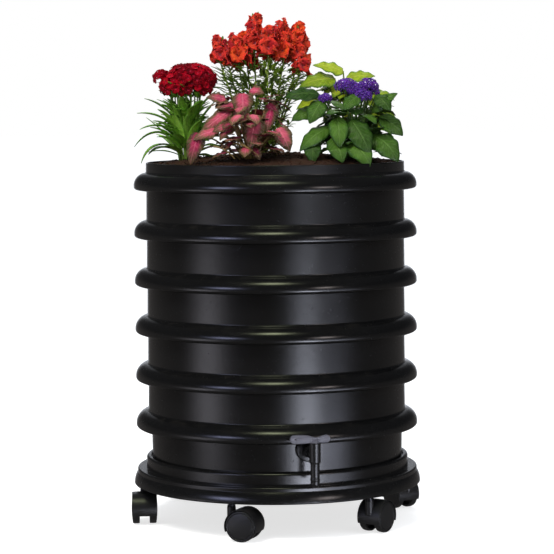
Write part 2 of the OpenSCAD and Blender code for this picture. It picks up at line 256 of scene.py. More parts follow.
def eased(outline, radius, steps=4, closed=True):
    """The outline with each sharp corner turned into a small arc-like curve."""
    count = len(outline)
    out = []
    for i, point in enumerate(outline):
        here = Vector(point)
        before, after = Vector(outline[i - 1]), Vector(outline[(i + 1) % count])
        to_before, to_after = before - here, after - here
        at_end = not closed and i in (0, count - 1)
        if at_end or to_before.length < 1e-9 or to_after.length < 1e-9:
            out.append(point)
            continue
        turn = math.pi - to_before.angle(to_after)
        if turn < math.radians(25) or here.x < 1e-7:
            out.append(point)
            continue
        reach = min(radius, to_before.length * 0.45, to_after.length * 0.45)
        start = here + to_before.normalized() * reach
        stop = here + to_after.normalized() * reach
        for k in range(steps + 1):
            t = k / steps
            curve = start * (1 - t) ** 2 + here * 2 * t * (1 - t) + stop * t ** 2
            out.append((curve.x, curve.y))
    return out


def held(outline, closed):
    """The outline with a point near both ends of each long straight run, so that smooth shading
    turns only at the corners and the run itself stays flat."""
    reach = 0.5 * MM
    out = []
    for i, point in enumerate(outline):
        out.append(point)
        if not closed and i == len(outline) - 1:
            break
        here, there = Vector(point), Vector(outline[(i + 1) % len(outline)])
        run = there - here
        if run.length > 6 * reach:
            step = run.normalized() * reach
            out += [tuple(here + step), tuple(there - step)]
    return out


def lathe(name, outline, segments, closed=True, place=Matrix.Identity(4)):
    """Turns an outline of (r, z) points about Z. place puts the result where it belongs."""
    verts, rings = [], []
    for r, z in held(outline, closed):
        on_axis = abs(r) < 1e-7
        count = 1 if on_axis else segments
        rings.append([len(verts) + k for k in range(count)])
        for k in range(count):
            a = 2 * math.pi * k / segments
            verts.append(place @ Vector((r * math.cos(a), r * math.sin(a), z)))
    faces = []
    pairs = list(zip(rings, rings[1:] + rings[:1])) if closed else list(zip(rings, rings[1:]))
    for low, high in pairs:
        for k in range(segments):
            n = (k + 1) % segments
            corners = [low[k % len(low)], low[n % len(low)], high[n % len(high)], high[k % len(high)]]
            face = tuple(dict.fromkeys(corners))
            if len(face) > 2:
                faces.append(face)
    obj = new_object(name, verts, faces)
    face_outwards(obj)
    return obj


def face_outwards(obj):
    """Welds doubled points and turns every face outwards."""
    bm = bmesh.new()
    bm.from_mesh(obj.data)
    bmesh.ops.remove_doubles(bm, verts=bm.verts, dist=1e-7)
    bmesh.ops.recalc_face_normals(bm, faces=bm.faces)
    bm.to_mesh(obj.data)
    bm.free()


def join(name, pieces):
    """Makes one mesh object of several, and keeps the first one's material."""
    with bpy.context.temp_override(
        active_object=pieces[0], selected_editable_objects=pieces, selected_objects=pieces
    ):
        bpy.ops.object.join()
    pieces[0].name = name
    pieces[0].data.name = name
    return pieces[0]


def ease_edges(obj, width, segments=2, degrees=35):
    """Rounds the object's sharp edges and applies the result."""
    bevel = obj.modifiers.new("ease", "BEVEL")
    bevel.width = width
    bevel.segments = segments
    bevel.limit_method = "ANGLE"
    bevel.angle_limit = math.radians(degrees)
    bake_modifiers(obj)
    obj.data.polygons.foreach_set("use_smooth", [True] * len(obj.data.polygons))
    obj.data.set_sharp_from_angle(angle=math.radians(40))


def bake_modifiers(obj):
    """Replaces the object's mesh by the result of its modifiers."""
    graph = bpy.context.evaluated_depsgraph_get()
    mesh = bpy.data.meshes.new_from_object(obj.evaluated_get(graph))
    obj.modifiers.clear()
    obj.data = mesh


def plate(name, outline, low, high, place=Matrix.Identity(4), holes=()):
    """A flat plate: an outline of (x, y) points with round holes, from low to high along Z."""
    curve = bpy.data.curves.new(name, "CURVE")
    curve.dimensions = "2D"
    curve.fill_mode = "BOTH"
    curve.extrude = (high - low) / 2
    rings = [outline]
    for x, y, radius, sides in holes:
        steps = [2 * math.pi * k / sides for k in range(sides)]
        rings.append([(x + radius * math.cos(a), y + radius * math.sin(a)) for a in steps])
    for ring in rings:
        spline = curve.splines.new("POLY")
        spline.points.add(len(ring) - 1)
        spline.use_cyclic_u = True
        for point, (x, y) in zip(spline.points, ring):
            point.co = (x, y, 0, 1)
    flat = bpy.data.objects.new(name, curve)
    bpy.context.collection.objects.link(flat)
    graph = bpy.context.evaluated_depsgraph_get()
    mesh = bpy.data.meshes.new_from_object(flat.evaluated_get(graph))
    bpy.data.objects.remove(flat)
    mesh.transform(place @ Matrix.Translation((0, 0, (low + high) / 2)))
    mesh.materials.clear()
    obj = bpy.data.objects.new(name, mesh)
    bpy.context.collection.objects.link(obj)
    face_outwards(obj)
    mesh.polygons.foreach_set("use_smooth", [True] * len(mesh.polygons))
    mesh.set_sharp_from_angle(angle=math.radians(40))
    return obj


def circle_points(radius, steps):
    """Evenly spaced points (x, y) round a circle."""
    angles = [2 * math.pi * k / steps for k in range(steps)]
    return [(radius * math.cos(a), radius * math.sin(a)) for a in angles]


def settle(obj, body, slot, material, *nodes):
    """Gives a piece its material and its body, and hides the CAD nodes it stands for. The slot is not used."""
    obj.data.materials.clear()
    obj.data.materials.append(material)
    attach(obj, body)
    if nodes:
        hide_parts(*nodes)


# ------------------------------------------------------------------ plastics and metal

def moulded_plastic(name, tone, roughness, grain=0.00004, specular=0.5, streaks=0.0):
    """Moulded plastic: fine grain, uneven gloss, and a little dust where it faces up."""
    material, g = new_material(name)
    broad = g.noise(9.0, 4.0)
    fine = g.noise(1500.0, 2.0)
    up = g.add("ShaderNodeSeparateXYZ", {0: g.add("ShaderNodeNewGeometry").outputs["Normal"]}).outputs[2]
    dust = g.math("MULTIPLY", g.span(up, 0.55, 1.0), g.span(g.noise(70.0, 6.0), 0.45, 0.75, 0.0, 0.07))
    dark = colour(*[c * 0.8 for c in tone])
    light = colour(*[c * 1.25 for c in tone])
    base = g.mix(dust, g.mix(broad, dark, light), colour(0.10, 0.09, 0.075))
    marks = g.span(g.noise(260.0, 2.0), 0.68, 0.74, 0.0, 0.10)
    rough = g.math("ADD", g.span(broad, 0.3, 0.7, roughness - 0.035, roughness + 0.035), marks)
    rough = g.math("ADD", rough, g.math("MULTIPLY", dust, 0.6), clamp=True)
    height = g.math("ADD", fine, g.math("MULTIPLY", g.noise(120.0, 2.0), 1.5))
    if streaks:
        turn = g.add("ShaderNodeMapping", {"Vector": g.place(), "Scale": (1.0, 1.0, 0.02)}).outputs[0]
        height = g.math("ADD", height, g.math("MULTIPLY", g.noise(160.0, 3.0, turn), streaks))
    inputs = {
        "Base Color": base,
        "Roughness": rough,
        "Specular IOR Level": specular,
        "Normal": g.bump(height, grain, 0.5),
    }
    g.surface(inputs)
    return material


def metal(name, dark, light):
    """Plated steel with a cloudy finish between two tones."""
    material, g = new_material(name)
    cloud = g.noise(400.0, 4.0)
    inputs = {
        "Base Color": g.mix(cloud, colour(*dark), colour(*light)),
        "Metallic": 1.0,
        "Roughness": g.span(cloud, 0.3, 0.7, 0.28, 0.42),
        "Normal": g.bump(g.noise(2500.0), 0.00002, 0.4),
    }
    g.surface(inputs)
    return material


TOWER = moulded_plastic("tower_satin_black", (0.0052, 0.0052, 0.0054), 0.20, streaks=2.0)
TAP = moulded_plastic("tap_black", (0.006, 0.006, 0.0065), 0.26)
# The handle is black plastic; its mid grey with a blue tint is a painted reflection of the sky on its up-tilted
# face.
HANDLE_PAINTED_SHEEN = moulded_plastic("handle_painted_sky_sheen", (0.095, 0.095, 0.120), 0.36, grain=0.00006)
HOOD = moulded_plastic("hood_black", (0.0085, 0.0085, 0.009), 0.36, grain=0.00008)
WHEEL = moulded_plastic("wheel_black", (0.009, 0.009, 0.0095), 0.38, grain=0.00008)
RUBBER = moulded_plastic("seal_rubber", (0.012, 0.012, 0.012), 0.65, grain=0.00005, specular=0.3)
STEEL = metal("zinc_steel", (0.48, 0.48, 0.50), (0.64, 0.64, 0.66))
BLACK_STEEL = metal("black_steel", (0.030, 0.030, 0.032), (0.060, 0.060, 0.064))


# ------------------------------------------------------------------ trays, reservoir and base

ROUND = 288
WALL = 2.5 * MM
BEAD = 17.5 * MM
BEAD_DROP = 5.5 * MM
FLOOR_UNDER = 14 * MM
STACK_GAP = 0.3 * MM
FLOOR = 3 * MM
FOOT_FILLET = 2 * MM
LIP = 4 * MM
CORNER = 3 * MM
OVERLAP = 0.1 * MM

bead_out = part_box("tray_1")[1].x
bead_mid = bead_out - BEAD
wall_out = bead_out - BEAD + 0.7 * MM
ring_out = 172 * MM


def bead_shell():
    """From under the floor out through the bead's hollow, round its lip and up to the wall's foot.
    Height 0 is the bead's widest line."""
    reach = BEAD + FOOT_FILLET
    blend = math.acos((wall_out + FOOT_FILLET - bead_mid) / reach)
    blend_r = bead_mid + reach * math.cos(blend)
    blend_z = reach * math.sin(blend)
    turned = math.degrees(blend)
    lip_r = bead_out - LIP
    lip_z = LIP - BEAD_DROP
    path = [(bead_mid, FLOOR_UNDER)]
    path += arc(bead_mid, 0, BEAD - WALL, 90, 0, 20)
    path += arc(lip_r, lip_z, LIP - WALL, 0, -90, 6)
    ease = 0.7 * MM
    path += [(lip_r - WALL + ease, WALL - BEAD_DROP), (lip_r - WALL, WALL - BEAD_DROP - ease)]
    path += [(lip_r - WALL, ease - BEAD_DROP), (lip_r - WALL + ease, -BEAD_DROP)]
    path += arc(lip_r, lip_z, LIP, -90, 0, 10)[1:]
    path += arc(bead_mid, 0, BEAD, 0, turned, 36)[1:]
    path += arc(blend_r, blend_z, FOOT_FILLET, turned + 180, 180, 8)[1:]
    return path


def at_height(outline, z):
    """The outline raised by z."""
    return [(r, h + z) for r, h in outline]


def round_floor(name, radius, low, high, rings):
    """A floor plate with rings of drain holes, given as ring radius and number of holes."""
    drain_r = 4 * MM
    holes = []
    for ring_r, count in rings:
        for i in range(count):
            a = 2 * math.pi * (i + 0.5) / count
            holes.append((ring_r * math.cos(a), ring_r * math.sin(a), drain_r, 24))
    return plate(name, circle_points(radius, 144), low, high, holes=holes)


def build_tray(k):
    """Working tray: locating ring, rolled bead, wall with a turned-in rim, and a drilled floor."""
    node = f"tray_{k}"
    low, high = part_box(node)
    bead_z = low.z + BEAD_DROP
    rim_z = high.z - bead_z
    rim_r = wall_out - 0.8 * MM
    inner = wall_out - WALL
    floor_top = FLOOR_UNDER + FLOOR
    sieve_r, ring_low = ring_out - 12 * MM, 6 * MM
    outline = [(sieve_r, FLOOR_UNDER), (ring_out - WALL, FLOOR_UNDER)]
    outline += eased([(ring_out - WALL, ring_low), (ring_out, ring_low)], 0.5 * MM)
    outline += [(ring_out, FLOOR_UNDER)]
    outline += bead_shell()
    outline += [(rim_r, rim_z - 0.8 * MM), (rim_r - 0.3 * MM, rim_z - 0.2 * MM), (rim_r - 0.9 * MM, rim_z)]
    outline += [(rim_r - WALL + 0.9 * MM, rim_z), (rim_r - WALL, rim_z - 0.9 * MM)]
    outline += arc(inner - CORNER, floor_top + CORNER, CORNER, 0, -90, 6)
    outline += [(sieve_r, floor_top)]
    shell = lathe(node + "_shell", at_height(outline, bead_z), ROUND)
    rings = ((40 * MM, 8), (80 * MM, 16), (120 * MM, 24))
    sieve = round_floor(
        node + "_sieve", sieve_r + OVERLAP, bead_z + FLOOR_UNDER, bead_z + floor_top, rings
    )
    tray = join(node + "_moulding", [shell, sieve])
    settle(tray, node, "tower_plastic", TOWER, node)


def build_planter_tray():
    """Planter tray: a drilled bowl that hangs inside the top tray, its bead and a short collar."""
    low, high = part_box("planter_tray")
    bead_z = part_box("tray_1")[1].z - FLOOR_UNDER + STACK_GAP
    depth = bead_z - low.z
    collar = high.z - bead_z
    collar_r = wall_out - 0.2 * MM
    foot_r = ring_out - 3 * MM
    sieve_r = foot_r - 12 * MM
    ledge = FLOOR_UNDER + FLOOR
    round_r = 1.1 * MM
    outline = [(sieve_r, -depth)]
    outline += arc(foot_r - CORNER, -depth + CORNER, CORNER, -90, -10, 6)
    outline += [(ring_out, FLOOR_UNDER)]
    outline += bead_shell()
    outline += arc(collar_r - round_r, collar - round_r, round_r, 0, 90, 6)
    outline += arc(collar_r - WALL + round_r, collar - round_r, round_r, 90, 180, 6)
    outline += [(wall_out - WALL, ledge), (ring_out - WALL, ledge)]
    outline += [(foot_r - WALL, FLOOR - depth + 2 * MM), (foot_r - WALL - 2 * MM, FLOOR - depth)]
    outline += [(sieve_r, FLOOR - depth)]
    shell = lathe("planter_shell", at_height(outline, bead_z), ROUND)
    rings = ((60 * MM, 6), (120 * MM, 12))
    sieve = round_floor("planter_sieve", sieve_r + OVERLAP, low.z, low.z + FLOOR, rings)
    tray = join("planter_moulding", [shell, sieve])
    settle(tray, "planter", "tower_plastic", TOWER, "planter_tray")


def build_reservoir():
    """Closed bowl with a flared rim that the lowest tray's ring drops into."""
    low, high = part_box("reservoir")
    rim_r = high.x
    top_r = rim_r - 3.5 * MM
    foot_r = top_r - 0.7 * MM
    flare = high.z - 10.7 * MM
    outline = [(0, low.z)]
    outline += arc(foot_r - 2 * MM, low.z + 2 * MM, 2 * MM, -90, 0, 6)
    outline += [(top_r, flare - 3.5 * MM), (top_r + 0.4 * MM, flare - 2.8 * MM), (rim_r, flare)]
    outline += [(rim_r, high.z - 0.7 * MM), (rim_r - 0.8 * MM, high.z)]
    outline += [(rim_r - WALL + 0.8 * MM, high.z), (rim_r - WALL, high.z - 0.7 * MM)]
    outline += [(rim_r - WALL, flare + 1 * MM), (top_r - WALL, flare - 2.5 * MM)]
    outline += [(foot_r - WALL, low.z + FLOOR + CORNER)]
    outline += arc(foot_r - WALL - CORNER, low.z + FLOOR + CORNER, CORNER, 0, -90, 6)
    outline += [(0, low.z + FLOOR)]
    bowl = lathe("reservoir_moulding", outline, ROUND, closed=False)
    settle(bowl, "reservoir", "tower_plastic", TOWER, "reservoir")


def build_base():
    """Stepped round base: skirt, two rings and a seat, with ribs, a hub and stem sockets below."""
    low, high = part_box("base")
    shell = 3 * MM
    skirt_r, skirt_z, skirt_h = high.x, low.z, 15 * MM
    step_r, step_top, step_low = 194 * MM, skirt_z + 22 * MM, skirt_z + skirt_h
    ring_r = 181.4 * MM
    top = high.z
    seat_z, seat_r = top - 3.8 * MM, 175.2 * MM
    under_z = seat_z - shell
    flare = skirt_r - step_r - 0.8 * MM
    curve = (flare ** 2 + skirt_h ** 2) / (2 * flare)
    steep = math.degrees(math.asin(skirt_h / curve))
    inner = curve - shell
    inner_steep = math.degrees(math.asin(skirt_h / inner))
    outline = arc(skirt_r - curve, skirt_z, curve, 2, steep, 16)
    outline += [(step_r + 0.5 * MM, step_low + 0.1 * MM), (step_r, step_low + 0.8 * MM)]
    outline += arc(step_r - 2 * MM, step_top - 2 * MM, 2 * MM, 0, 90, 8)
    outline += [(ring_r + 0.6 * MM, step_top), (ring_r, step_top + 0.6 * MM)]
    outline += arc(ring_r - 3.5 * MM, top - 3.5 * MM, 3.5 * MM, 0, 90, 12)
    outline += [(seat_r + 0.5 * MM, top), (seat_r, top - 0.5 * MM), (seat_r, seat_z), (0, seat_z)]
    body = outline + [(0, under_z), (ring_r - shell, under_z), (ring_r - shell, step_top - shell)]
    body += [(step_r - shell, step_top - shell), (step_r - shell, step_low + 1 * MM)]
    body += arc(skirt_r - curve, skirt_z, inner, inner_steep, 3, 12)
    body += [(skirt_r - shell + 0.8 * MM, skirt_z), (skirt_r - 0.8 * MM, skirt_z)]
    parts = [lathe("base_shell", body, ROUND)]
    rib_low, rib_t, hub_r, hub_t = 74 * MM, 2.5 * MM, 24 * MM, 4 * MM
    hub = [(hub_r - hub_t, rib_low), (hub_r, rib_low), (hub_r, under_z), (hub_r - hub_t, under_z)]
    parts.append(lathe("base_hub", eased(hub, 0.4 * MM), 64))
    stem = sum(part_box("caster_1_stem"), Vector())
    first = math.atan2(stem.x, -stem.y)
    for i in range(12):
        turn = Matrix.Rotation(first + i * math.pi / 6, 4, "Z")
        far, near = 3.2 * MM - ring_r, 1 * MM - hub_r
        outline = [(-rib_t / 2, far), (rib_t / 2, far), (rib_t / 2, near), (-rib_t / 2, near)]
        parts.append(plate("base_rib", outline, rib_low, under_z, turn))
    for k in CASTERS:
        lowest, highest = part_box(f"caster_{k}_stem")
        middle = (lowest + highest) / 2
        bore_r, socket_r, socket_low = 4 * MM, 6.5 * MM, skirt_z + 1.5 * MM
        tube = [(bore_r, socket_low), (socket_r, socket_low)]
        tube += [(socket_r, step_top - shell), (bore_r, step_top - shell)]
        spot = Matrix.Translation((middle.x, middle.y, 0))
        parts.append(lathe("base_socket", eased(tube, 0.4 * MM), 40, place=spot))
    base = join("base_moulding", parts)
    settle(base, "base", "tower_plastic", TOWER, "base")


# ------------------------------------------------------------------ tap

def build_tap():
    """Flanged barrel through the wall, a sleeve that the plug turns in, and a pipe below it."""
    spout = next(m for m in record["mounts"] if m["name"] == "tap_spout")["pos_m"]
    angle = math.atan2(spout[0], -spout[1])
    spout_r = math.hypot(spout[0], spout[1])
    low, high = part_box("tap_body")
    inlet_z = low.z + 42 * MM
    at_spout = Matrix.Rotation(angle, 4, "Z") @ Matrix.Translation((0, -spout_r, 0))
    lying = Matrix.Rotation(angle, 4, "Z") @ Matrix.Translation((0, 0, inlet_z))
    lying = lying @ Matrix.Rotation(math.pi / 2, 4, "X")
    tail_in, tail_r = 156 * MM, 9 * MM
    flange_in, flange_r = 176.4 * MM, 15.5 * MM
    flange_out = flange_in + 4 * MM
    barrel_r = 8 * MM
    barrel = [(0, tail_in), (tail_r, tail_in), (tail_r, flange_in), (flange_r, flange_in)]
    barrel += [(flange_r, flange_in + 2.6 * MM), (flange_r - 1.3 * MM, flange_out)]
    barrel += [(barrel_r + 0.6 * MM, flange_out), (barrel_r, flange_out + 1 * MM)]
    barrel += [(barrel_r, spout_r), (0, spout_r)]
    body = [lathe("tap_barrel", eased(barrel, 0.5 * MM, closed=False), 96, closed=False, place=lying)]

    sleeve_r, sleeve_low = 7.5 * MM, inlet_z - 12 * MM
    plug_r, plug_low = 5.05 * MM, high.z - 9 * MM
    sleeve = [(0, sleeve_low), (sleeve_r - 1.5 * MM, sleeve_low), (sleeve_r, sleeve_low + 2 * MM)]
    sleeve += [(sleeve_r, high.z), (plug_r, high.z), (plug_r, plug_low), (0, plug_low)]
    body.append(lathe("tap_sleeve", eased(sleeve, 0.6 * MM, closed=False), 80, closed=False, place=at_spout))

    pipe_r, bore_r, pipe_top = 6 * MM, 4 * MM, inlet_z - 9 * MM
    barb_r = pipe_r + 0.3 * MM
    pipe = [(pipe_r, pipe_top), (pipe_r, low.z + 12 * MM), (barb_r, low.z + 11 * MM)]
    pipe += [(barb_r, low.z + 8 * MM), (pipe_r, low.z + 7 * MM), (pipe_r, low.z + 3 * MM)]
    pipe += [(pipe_r - 1.2 * MM, low.z), (bore_r, low.z), (bore_r, pipe_top)]
    body.append(lathe("tap_pipe", eased(pipe, 0.4 * MM), 80, place=at_spout))
    tap = join("tap_moulding", body)
    settle(tap, "reservoir", "tap_plastic", TAP, "tap_body")

    build_handle(at_spout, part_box("tap_handle")[0].z, high.z)
    for node, material in (("tap_washer", RUBBER), ("tap_nut", TAP), ("tap_o_ring", RUBBER)):
        redress(node, material)


def dog_bone():
    """Handle outline from the front: a long arm to the left and a short one, with a waist between."""
    left_x, left_r = -27.5, 5.5
    right_x, right_r = 15.0, 4.9
    waist_x, waist_reach, waist_drop, waist_r = 2.0, 9.0, -1.6, 3.3
    steps = 14
    lower, upper = [], []
    for i in range(steps + 1):
        t = i / steps
        x = left_x + (right_x - left_x) * t
        pull = math.exp(-((x - waist_x) / waist_reach) ** 2)
        end_r = left_r + (right_r - left_r) * t
        half = end_r - (end_r - waist_r) * pull
        lower.append((x, waist_drop * pull - half))
        upper.append((x, waist_drop * pull + half))
    left = arc(left_x, 0, left_r, 265, 95, 18)
    right = arc(right_x, 0, right_r, 85, -85, 18)
    ring = left + upper[1:-1] + right + lower[1:-1][::-1]
    return [(x * MM, y * MM) for x, y in ring]


def build_handle(at_spout, low, sleeve_top):
    """Dog-bone handle on its round boss. The bone's outline faces the front."""
    centre_z = sleeve_top + 5.3 * MM
    half_t = 2.5 * MM
    hole = (-26.5 * MM, 0.4 * MM, 1.0 * MM, 20)
    upright = at_spout @ Matrix.Translation((0, 0, centre_z)) @ Matrix.Rotation(math.pi / 2, 4, "X")
    bone = plate("handle_bone", dog_bone(), -half_t, half_t, upright, holes=(hole,))
    ease_edges(bone, 0.9 * MM, 3, 50)
    plug_r, cap_r, cap_low = 4.95 * MM, 7.5 * MM, sleeve_top + 0.3 * MM
    boss = [(0, low), (plug_r, low), (plug_r, cap_low), (cap_r, cap_low)]
    boss += [(cap_r, sleeve_top + 1.9 * MM), (5.2 * MM, sleeve_top + 2.2 * MM)]
    boss += [(4.6 * MM, centre_z), (0, centre_z)]
    cap = lathe("handle_boss", eased(boss, 0.4 * MM, closed=False), 72, closed=False, place=at_spout)
    handle = join("tap_handle_moulding", [bone, cap])
    # The handle's grey-blue colour is a painted sky reflection on black plastic.
    settle(handle, "tap_turner", "handle_plastic", HANDLE_PAINTED_SHEEN, "tap_handle")


def redress(node, material):
    """Gives a CAD node that stays on show its finished material."""
    mesh = frame["nodes"][node].data
    mesh.materials.clear()
    mesh.materials.append(material)


# ------------------------------------------------------------------ casters

def sweep(name, section, start, stop, steps, place):
    """Sweeps a closed section of (radius, side) points round an axle, from one angle to another."""
    verts, faces = [], []
    count = len(section)
    for i in range(steps + 1):
        a = math.radians(start + (stop - start) * i / steps)
        for radius, side in section:
            verts.append(place @ Vector((radius * math.cos(a), side, radius * math.sin(a))))
    for i in range(steps):
        for k in range(count):
            n = (k + 1) % count
            faces.append((i * count + k, i * count + n, (i + 1) * count + n, (i + 1) * count + k))
    faces.append(tuple(range(count)))
    faces.append(tuple(steps * count + k for k in range(count)))
    obj = new_object(name, verts, faces)
    face_outwards(obj)
    return obj


def caster_place(k):
    """The caster's own frame: origin under the swivel axis on the floor, +X the way it trails."""
    swivel = Vector(joints[f"caster_{k}_swivel"]["pos_m"])
    axle = Vector(joints[f"caster_{k}_spin_left"]["pos_m"])
    heading = math.atan2(axle.y - swivel.y, axle.x - swivel.x)
    trail = math.hypot(axle.x - swivel.x, axle.y - swivel.y)
    place = Matrix.Translation((swivel.x, swivel.y, 0)) @ Matrix.Rotation(heading, 4, "Z")
    return place, trail, axle.z


def build_hood(k):
    """Crowned fender over both wheels, the web between them, and the boss for the stem."""
    place, trail, axle_z = caster_place(k)
    wheel_r = axle_z
    at_axle = place @ Matrix.Translation((trail, 0, axle_z))
    inner, outer, half = wheel_r + 0.6 * MM, wheel_r + 1.9 * MM, 17 * MM
    edge_r, side_r = inner + 0.3 * MM, inner + 0.75 * MM
    section = [(inner, -half + 0.4 * MM), (inner, 0), (inner, half - 0.4 * MM), (edge_r, half)]
    for i in range(11):
        side = half * (1 - i / 5)
        crown = 1 - abs(side / half) ** 2.5
        section.append((side_r + (outer - side_r) * crown, side))
    section += [(edge_r, -half)]
    fender_low = 13 * MM
    cut = math.degrees(math.asin((axle_z - fender_low) / outer))
    parts = [sweep("hood_fender", section, -cut, 180 + cut, 56, at_axle)]
    web_t = 6.2 * MM
    web = arc(0, 0, inner + 0.2 * MM, -cut - 1, 180 + cut + 1, 40)
    lying = at_axle @ Matrix.Rotation(math.pi / 2, 4, "X")
    middle = plate("hood_web", web, -web_t, web_t, lying)
    ease_edges(middle, 0.5 * MM)
    parts.append(middle)
    top = outer + wheel_r + 1.2 * MM
    boss_low, boss_r = 24 * MM, 5.8 * MM
    boss = [(0, boss_low), (boss_r - 1.2 * MM, boss_low), (boss_r, boss_low + 1.4 * MM)]
    boss += [(boss_r, top - 1 * MM), (boss_r - 0.6 * MM, top), (0, top)]
    parts.append(lathe("hood_boss", eased(boss, 0.4 * MM, closed=False), 48, closed=False, place=place))
    neck_end = trail - 12 * MM
    neck = [(-1 * MM, -4.6 * MM), (neck_end, -5.2 * MM), (neck_end, 5.2 * MM), (-1 * MM, 4.6 * MM)]
    block = plate("hood_neck", neck, 18 * MM, top - 6 * MM, place)
    ease_edges(block, 1.2 * MM, 3)
    parts.append(block)
    hood = join(f"caster_{k}_hood_moulding", parts)
    settle(hood, f"caster_{k}_fork", "hood_plastic", HOOD, f"caster_{k}_hood")


def build_wheel(k, side):
    """Wheel with a crowned tread, a raised rim, a shallow ring groove and a domed face."""
    place, trail, axle_z = caster_place(k)
    r = axle_z
    inner, outer = 6.75 * MM, 17.75 * MM
    turn = Matrix.Rotation(-math.pi / 2 if side == "left" else math.pi / 2, 4, "X")
    at_axle = place @ Matrix.Translation((trail, 0, axle_z)) @ turn
    bore_r, hub_r, web, web_out = 2.55 * MM, 5.5 * MM, inner + 7 * MM, inner + 8 * MM
    outline = [(bore_r, web_out), (bore_r, inner), (hub_r, inner), (hub_r, web)]
    outline += [(r - 3.2 * MM, web), (r - 3 * MM, inner + 0.4 * MM), (r - 2.6 * MM, inner)]
    outline += [(r - 0.9 * MM, inner), (r - 0.25 * MM, inner + 0.7 * MM), (r, inner + 3 * MM)]
    outline += [(r, outer - 4.5 * MM), (r - 0.25 * MM, outer - 3 * MM)]
    outline += arc(r - 1.9 * MM, outer - 3 * MM, 1.65 * MM, 0, 80, 6)
    groove = outer - 1.9 * MM
    face_r, dome, rings = r - 3.9 * MM, 1.2 * MM, 7
    outline += [(r - 2.5 * MM, outer - 1.3 * MM), (r - 2.9 * MM, groove), (r - 3.5 * MM, groove)]
    outline += [(face_r, outer - dome)]
    for i in range(1, rings):
        share = 1 - i / rings
        outline.append((face_r * share, outer - dome * share ** 2))
    outline += [(0, outer), (0, web_out)]
    wheel = lathe(
        f"caster_{k}_wheel_{side}_moulding", eased(outline, 0.25 * MM, 3, False), 96, False, at_axle
    )
    node = f"caster_{k}_wheel_{side}"
    settle(wheel, node, "wheel_plastic", WHEEL, node)


def build_casters():
    for k in CASTERS:
        build_hood(k)
        for side in ("left", "right"):
            build_wheel(k, side)
        redress(f"caster_{k}_stem", BLACK_STEEL)
        redress(f"caster_{k}_axle", STEEL)


# ------------------------------------------------------------------ soil

def build_soil():
    """Mounded potting mix: a lumpy skin on a closed body, with crumbs and bark lying on it."""
    rng = random.Random(7)
    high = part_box("soil")[1]
    edge_r = high.x
    edge_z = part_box("planter_tray")[1].z - 2 * MM
    rise = high.z - edge_z
    skirt_z = edge_z - 12 * MM
    rings, sides = 64, 200
    verts = [Vector((0, 0, high.z - 2 * MM))]

    def skin(x, y):
        r = math.hypot(x, y) / edge_r
        dome = edge_z + rise * (1 - r ** 2)
        coarse = noise.noise(Vector((x, y, 0)) * 42) * 2.6 * MM
        lumps = abs(noise.noise(Vector((x, y, 3)) * 130)) * 3.2 * MM
        grit = noise.noise(Vector((x, y, 5)) * 420) * 1.0 * MM
        return min(dome + (coarse + lumps + grit) * min(1, 6 * (1.02 - r)) - 2 * MM, high.z + 4 * MM)

    faces = []
    for i in range(1, rings + 1):
        for k in range(sides):
            a = 2 * math.pi * k / sides
            r = edge_r * i / rings
            x, y = r * math.cos(a), r * math.sin(a)
            verts.append(Vector((x, y, skin(x, y))))
    for k in range(sides):
        faces.append((0, 1 + k, 1 + (k + 1) % sides))
    for i in range(rings - 1):
        for k in range(sides):
            n = (k + 1) % sides
            a, b = 1 + i * sides, 1 + (i + 1) * sides
            faces.append((a + k, b + k, b + n, a + n))
    top = 1 + (rings - 1) * sides
    foot = len(verts)
    for k in range(sides):
        a = 2 * math.pi * k / sides
        verts.append(Vector((edge_r * math.cos(a), edge_r * math.sin(a), skirt_z)))
    for k in range(sides):
        n = (k + 1) % sides
        faces.append((top + k, foot + k, foot + n, top + n))
    faces.append(tuple(foot + k for k in range(sides)))
    crumbs = []
    crumb_count = 1500
    for _ in range(crumb_count):
        a, r = rng.uniform(0, 2 * math.pi), edge_r * math.sqrt(rng.random()) * 0.985
        x, y = r * math.cos(a), r * math.sin(a)
        bark = rng.random() < 0.3
        size = rng.uniform(2.2, 5.2) * MM if bark else rng.uniform(0.9, 3.0) * MM
        flat = 0.35 if bark else 0.8
        crumbs.append((Vector((x, y, skin(x, y) + size * 0.15)), size, flat, rng.random()))
    for centre, size, flat, seed in crumbs:
        add_crumb(verts, faces, centre, size, flat, rng, seed)
    soil = new_object("soil_mix", verts, faces, 60)
    settle(soil, "planter", "soil", soil_material(), "soil")


def add_crumb(verts, faces, centre, size, flat, rng, seed):
    """An irregular lump with eight corners cut from a box."""
    spin = Matrix.Rotation(seed * TURN, 3, "Z") @ Matrix.Rotation(rng.uniform(-0.5, 0.5), 3, "X")
    start = len(verts)
    for z in (-1, 1):
        for x, y in ((-1, -0.6), (0.1, -1), (1, -0.4), (0.8, 0.7), (-0.2, 1), (-1, 0.5)):
            corner = Vector((
                x * rng.uniform(0.6, 1),
                y * rng.uniform(0.5, 0.9),
                z * flat * rng.uniform(0.6, 1),
            ))
            verts.append(centre + spin @ (corner * size * 0.5))
    for k in range(6):
        n = (k + 1) % 6
        faces.append((start + k, start + n, start + 6 + n, start + 6 + k))
    faces.append(tuple(start + k for k in range(5, -1, -1)))
    faces.append(tuple(start + 6 + k for k in range(6)))


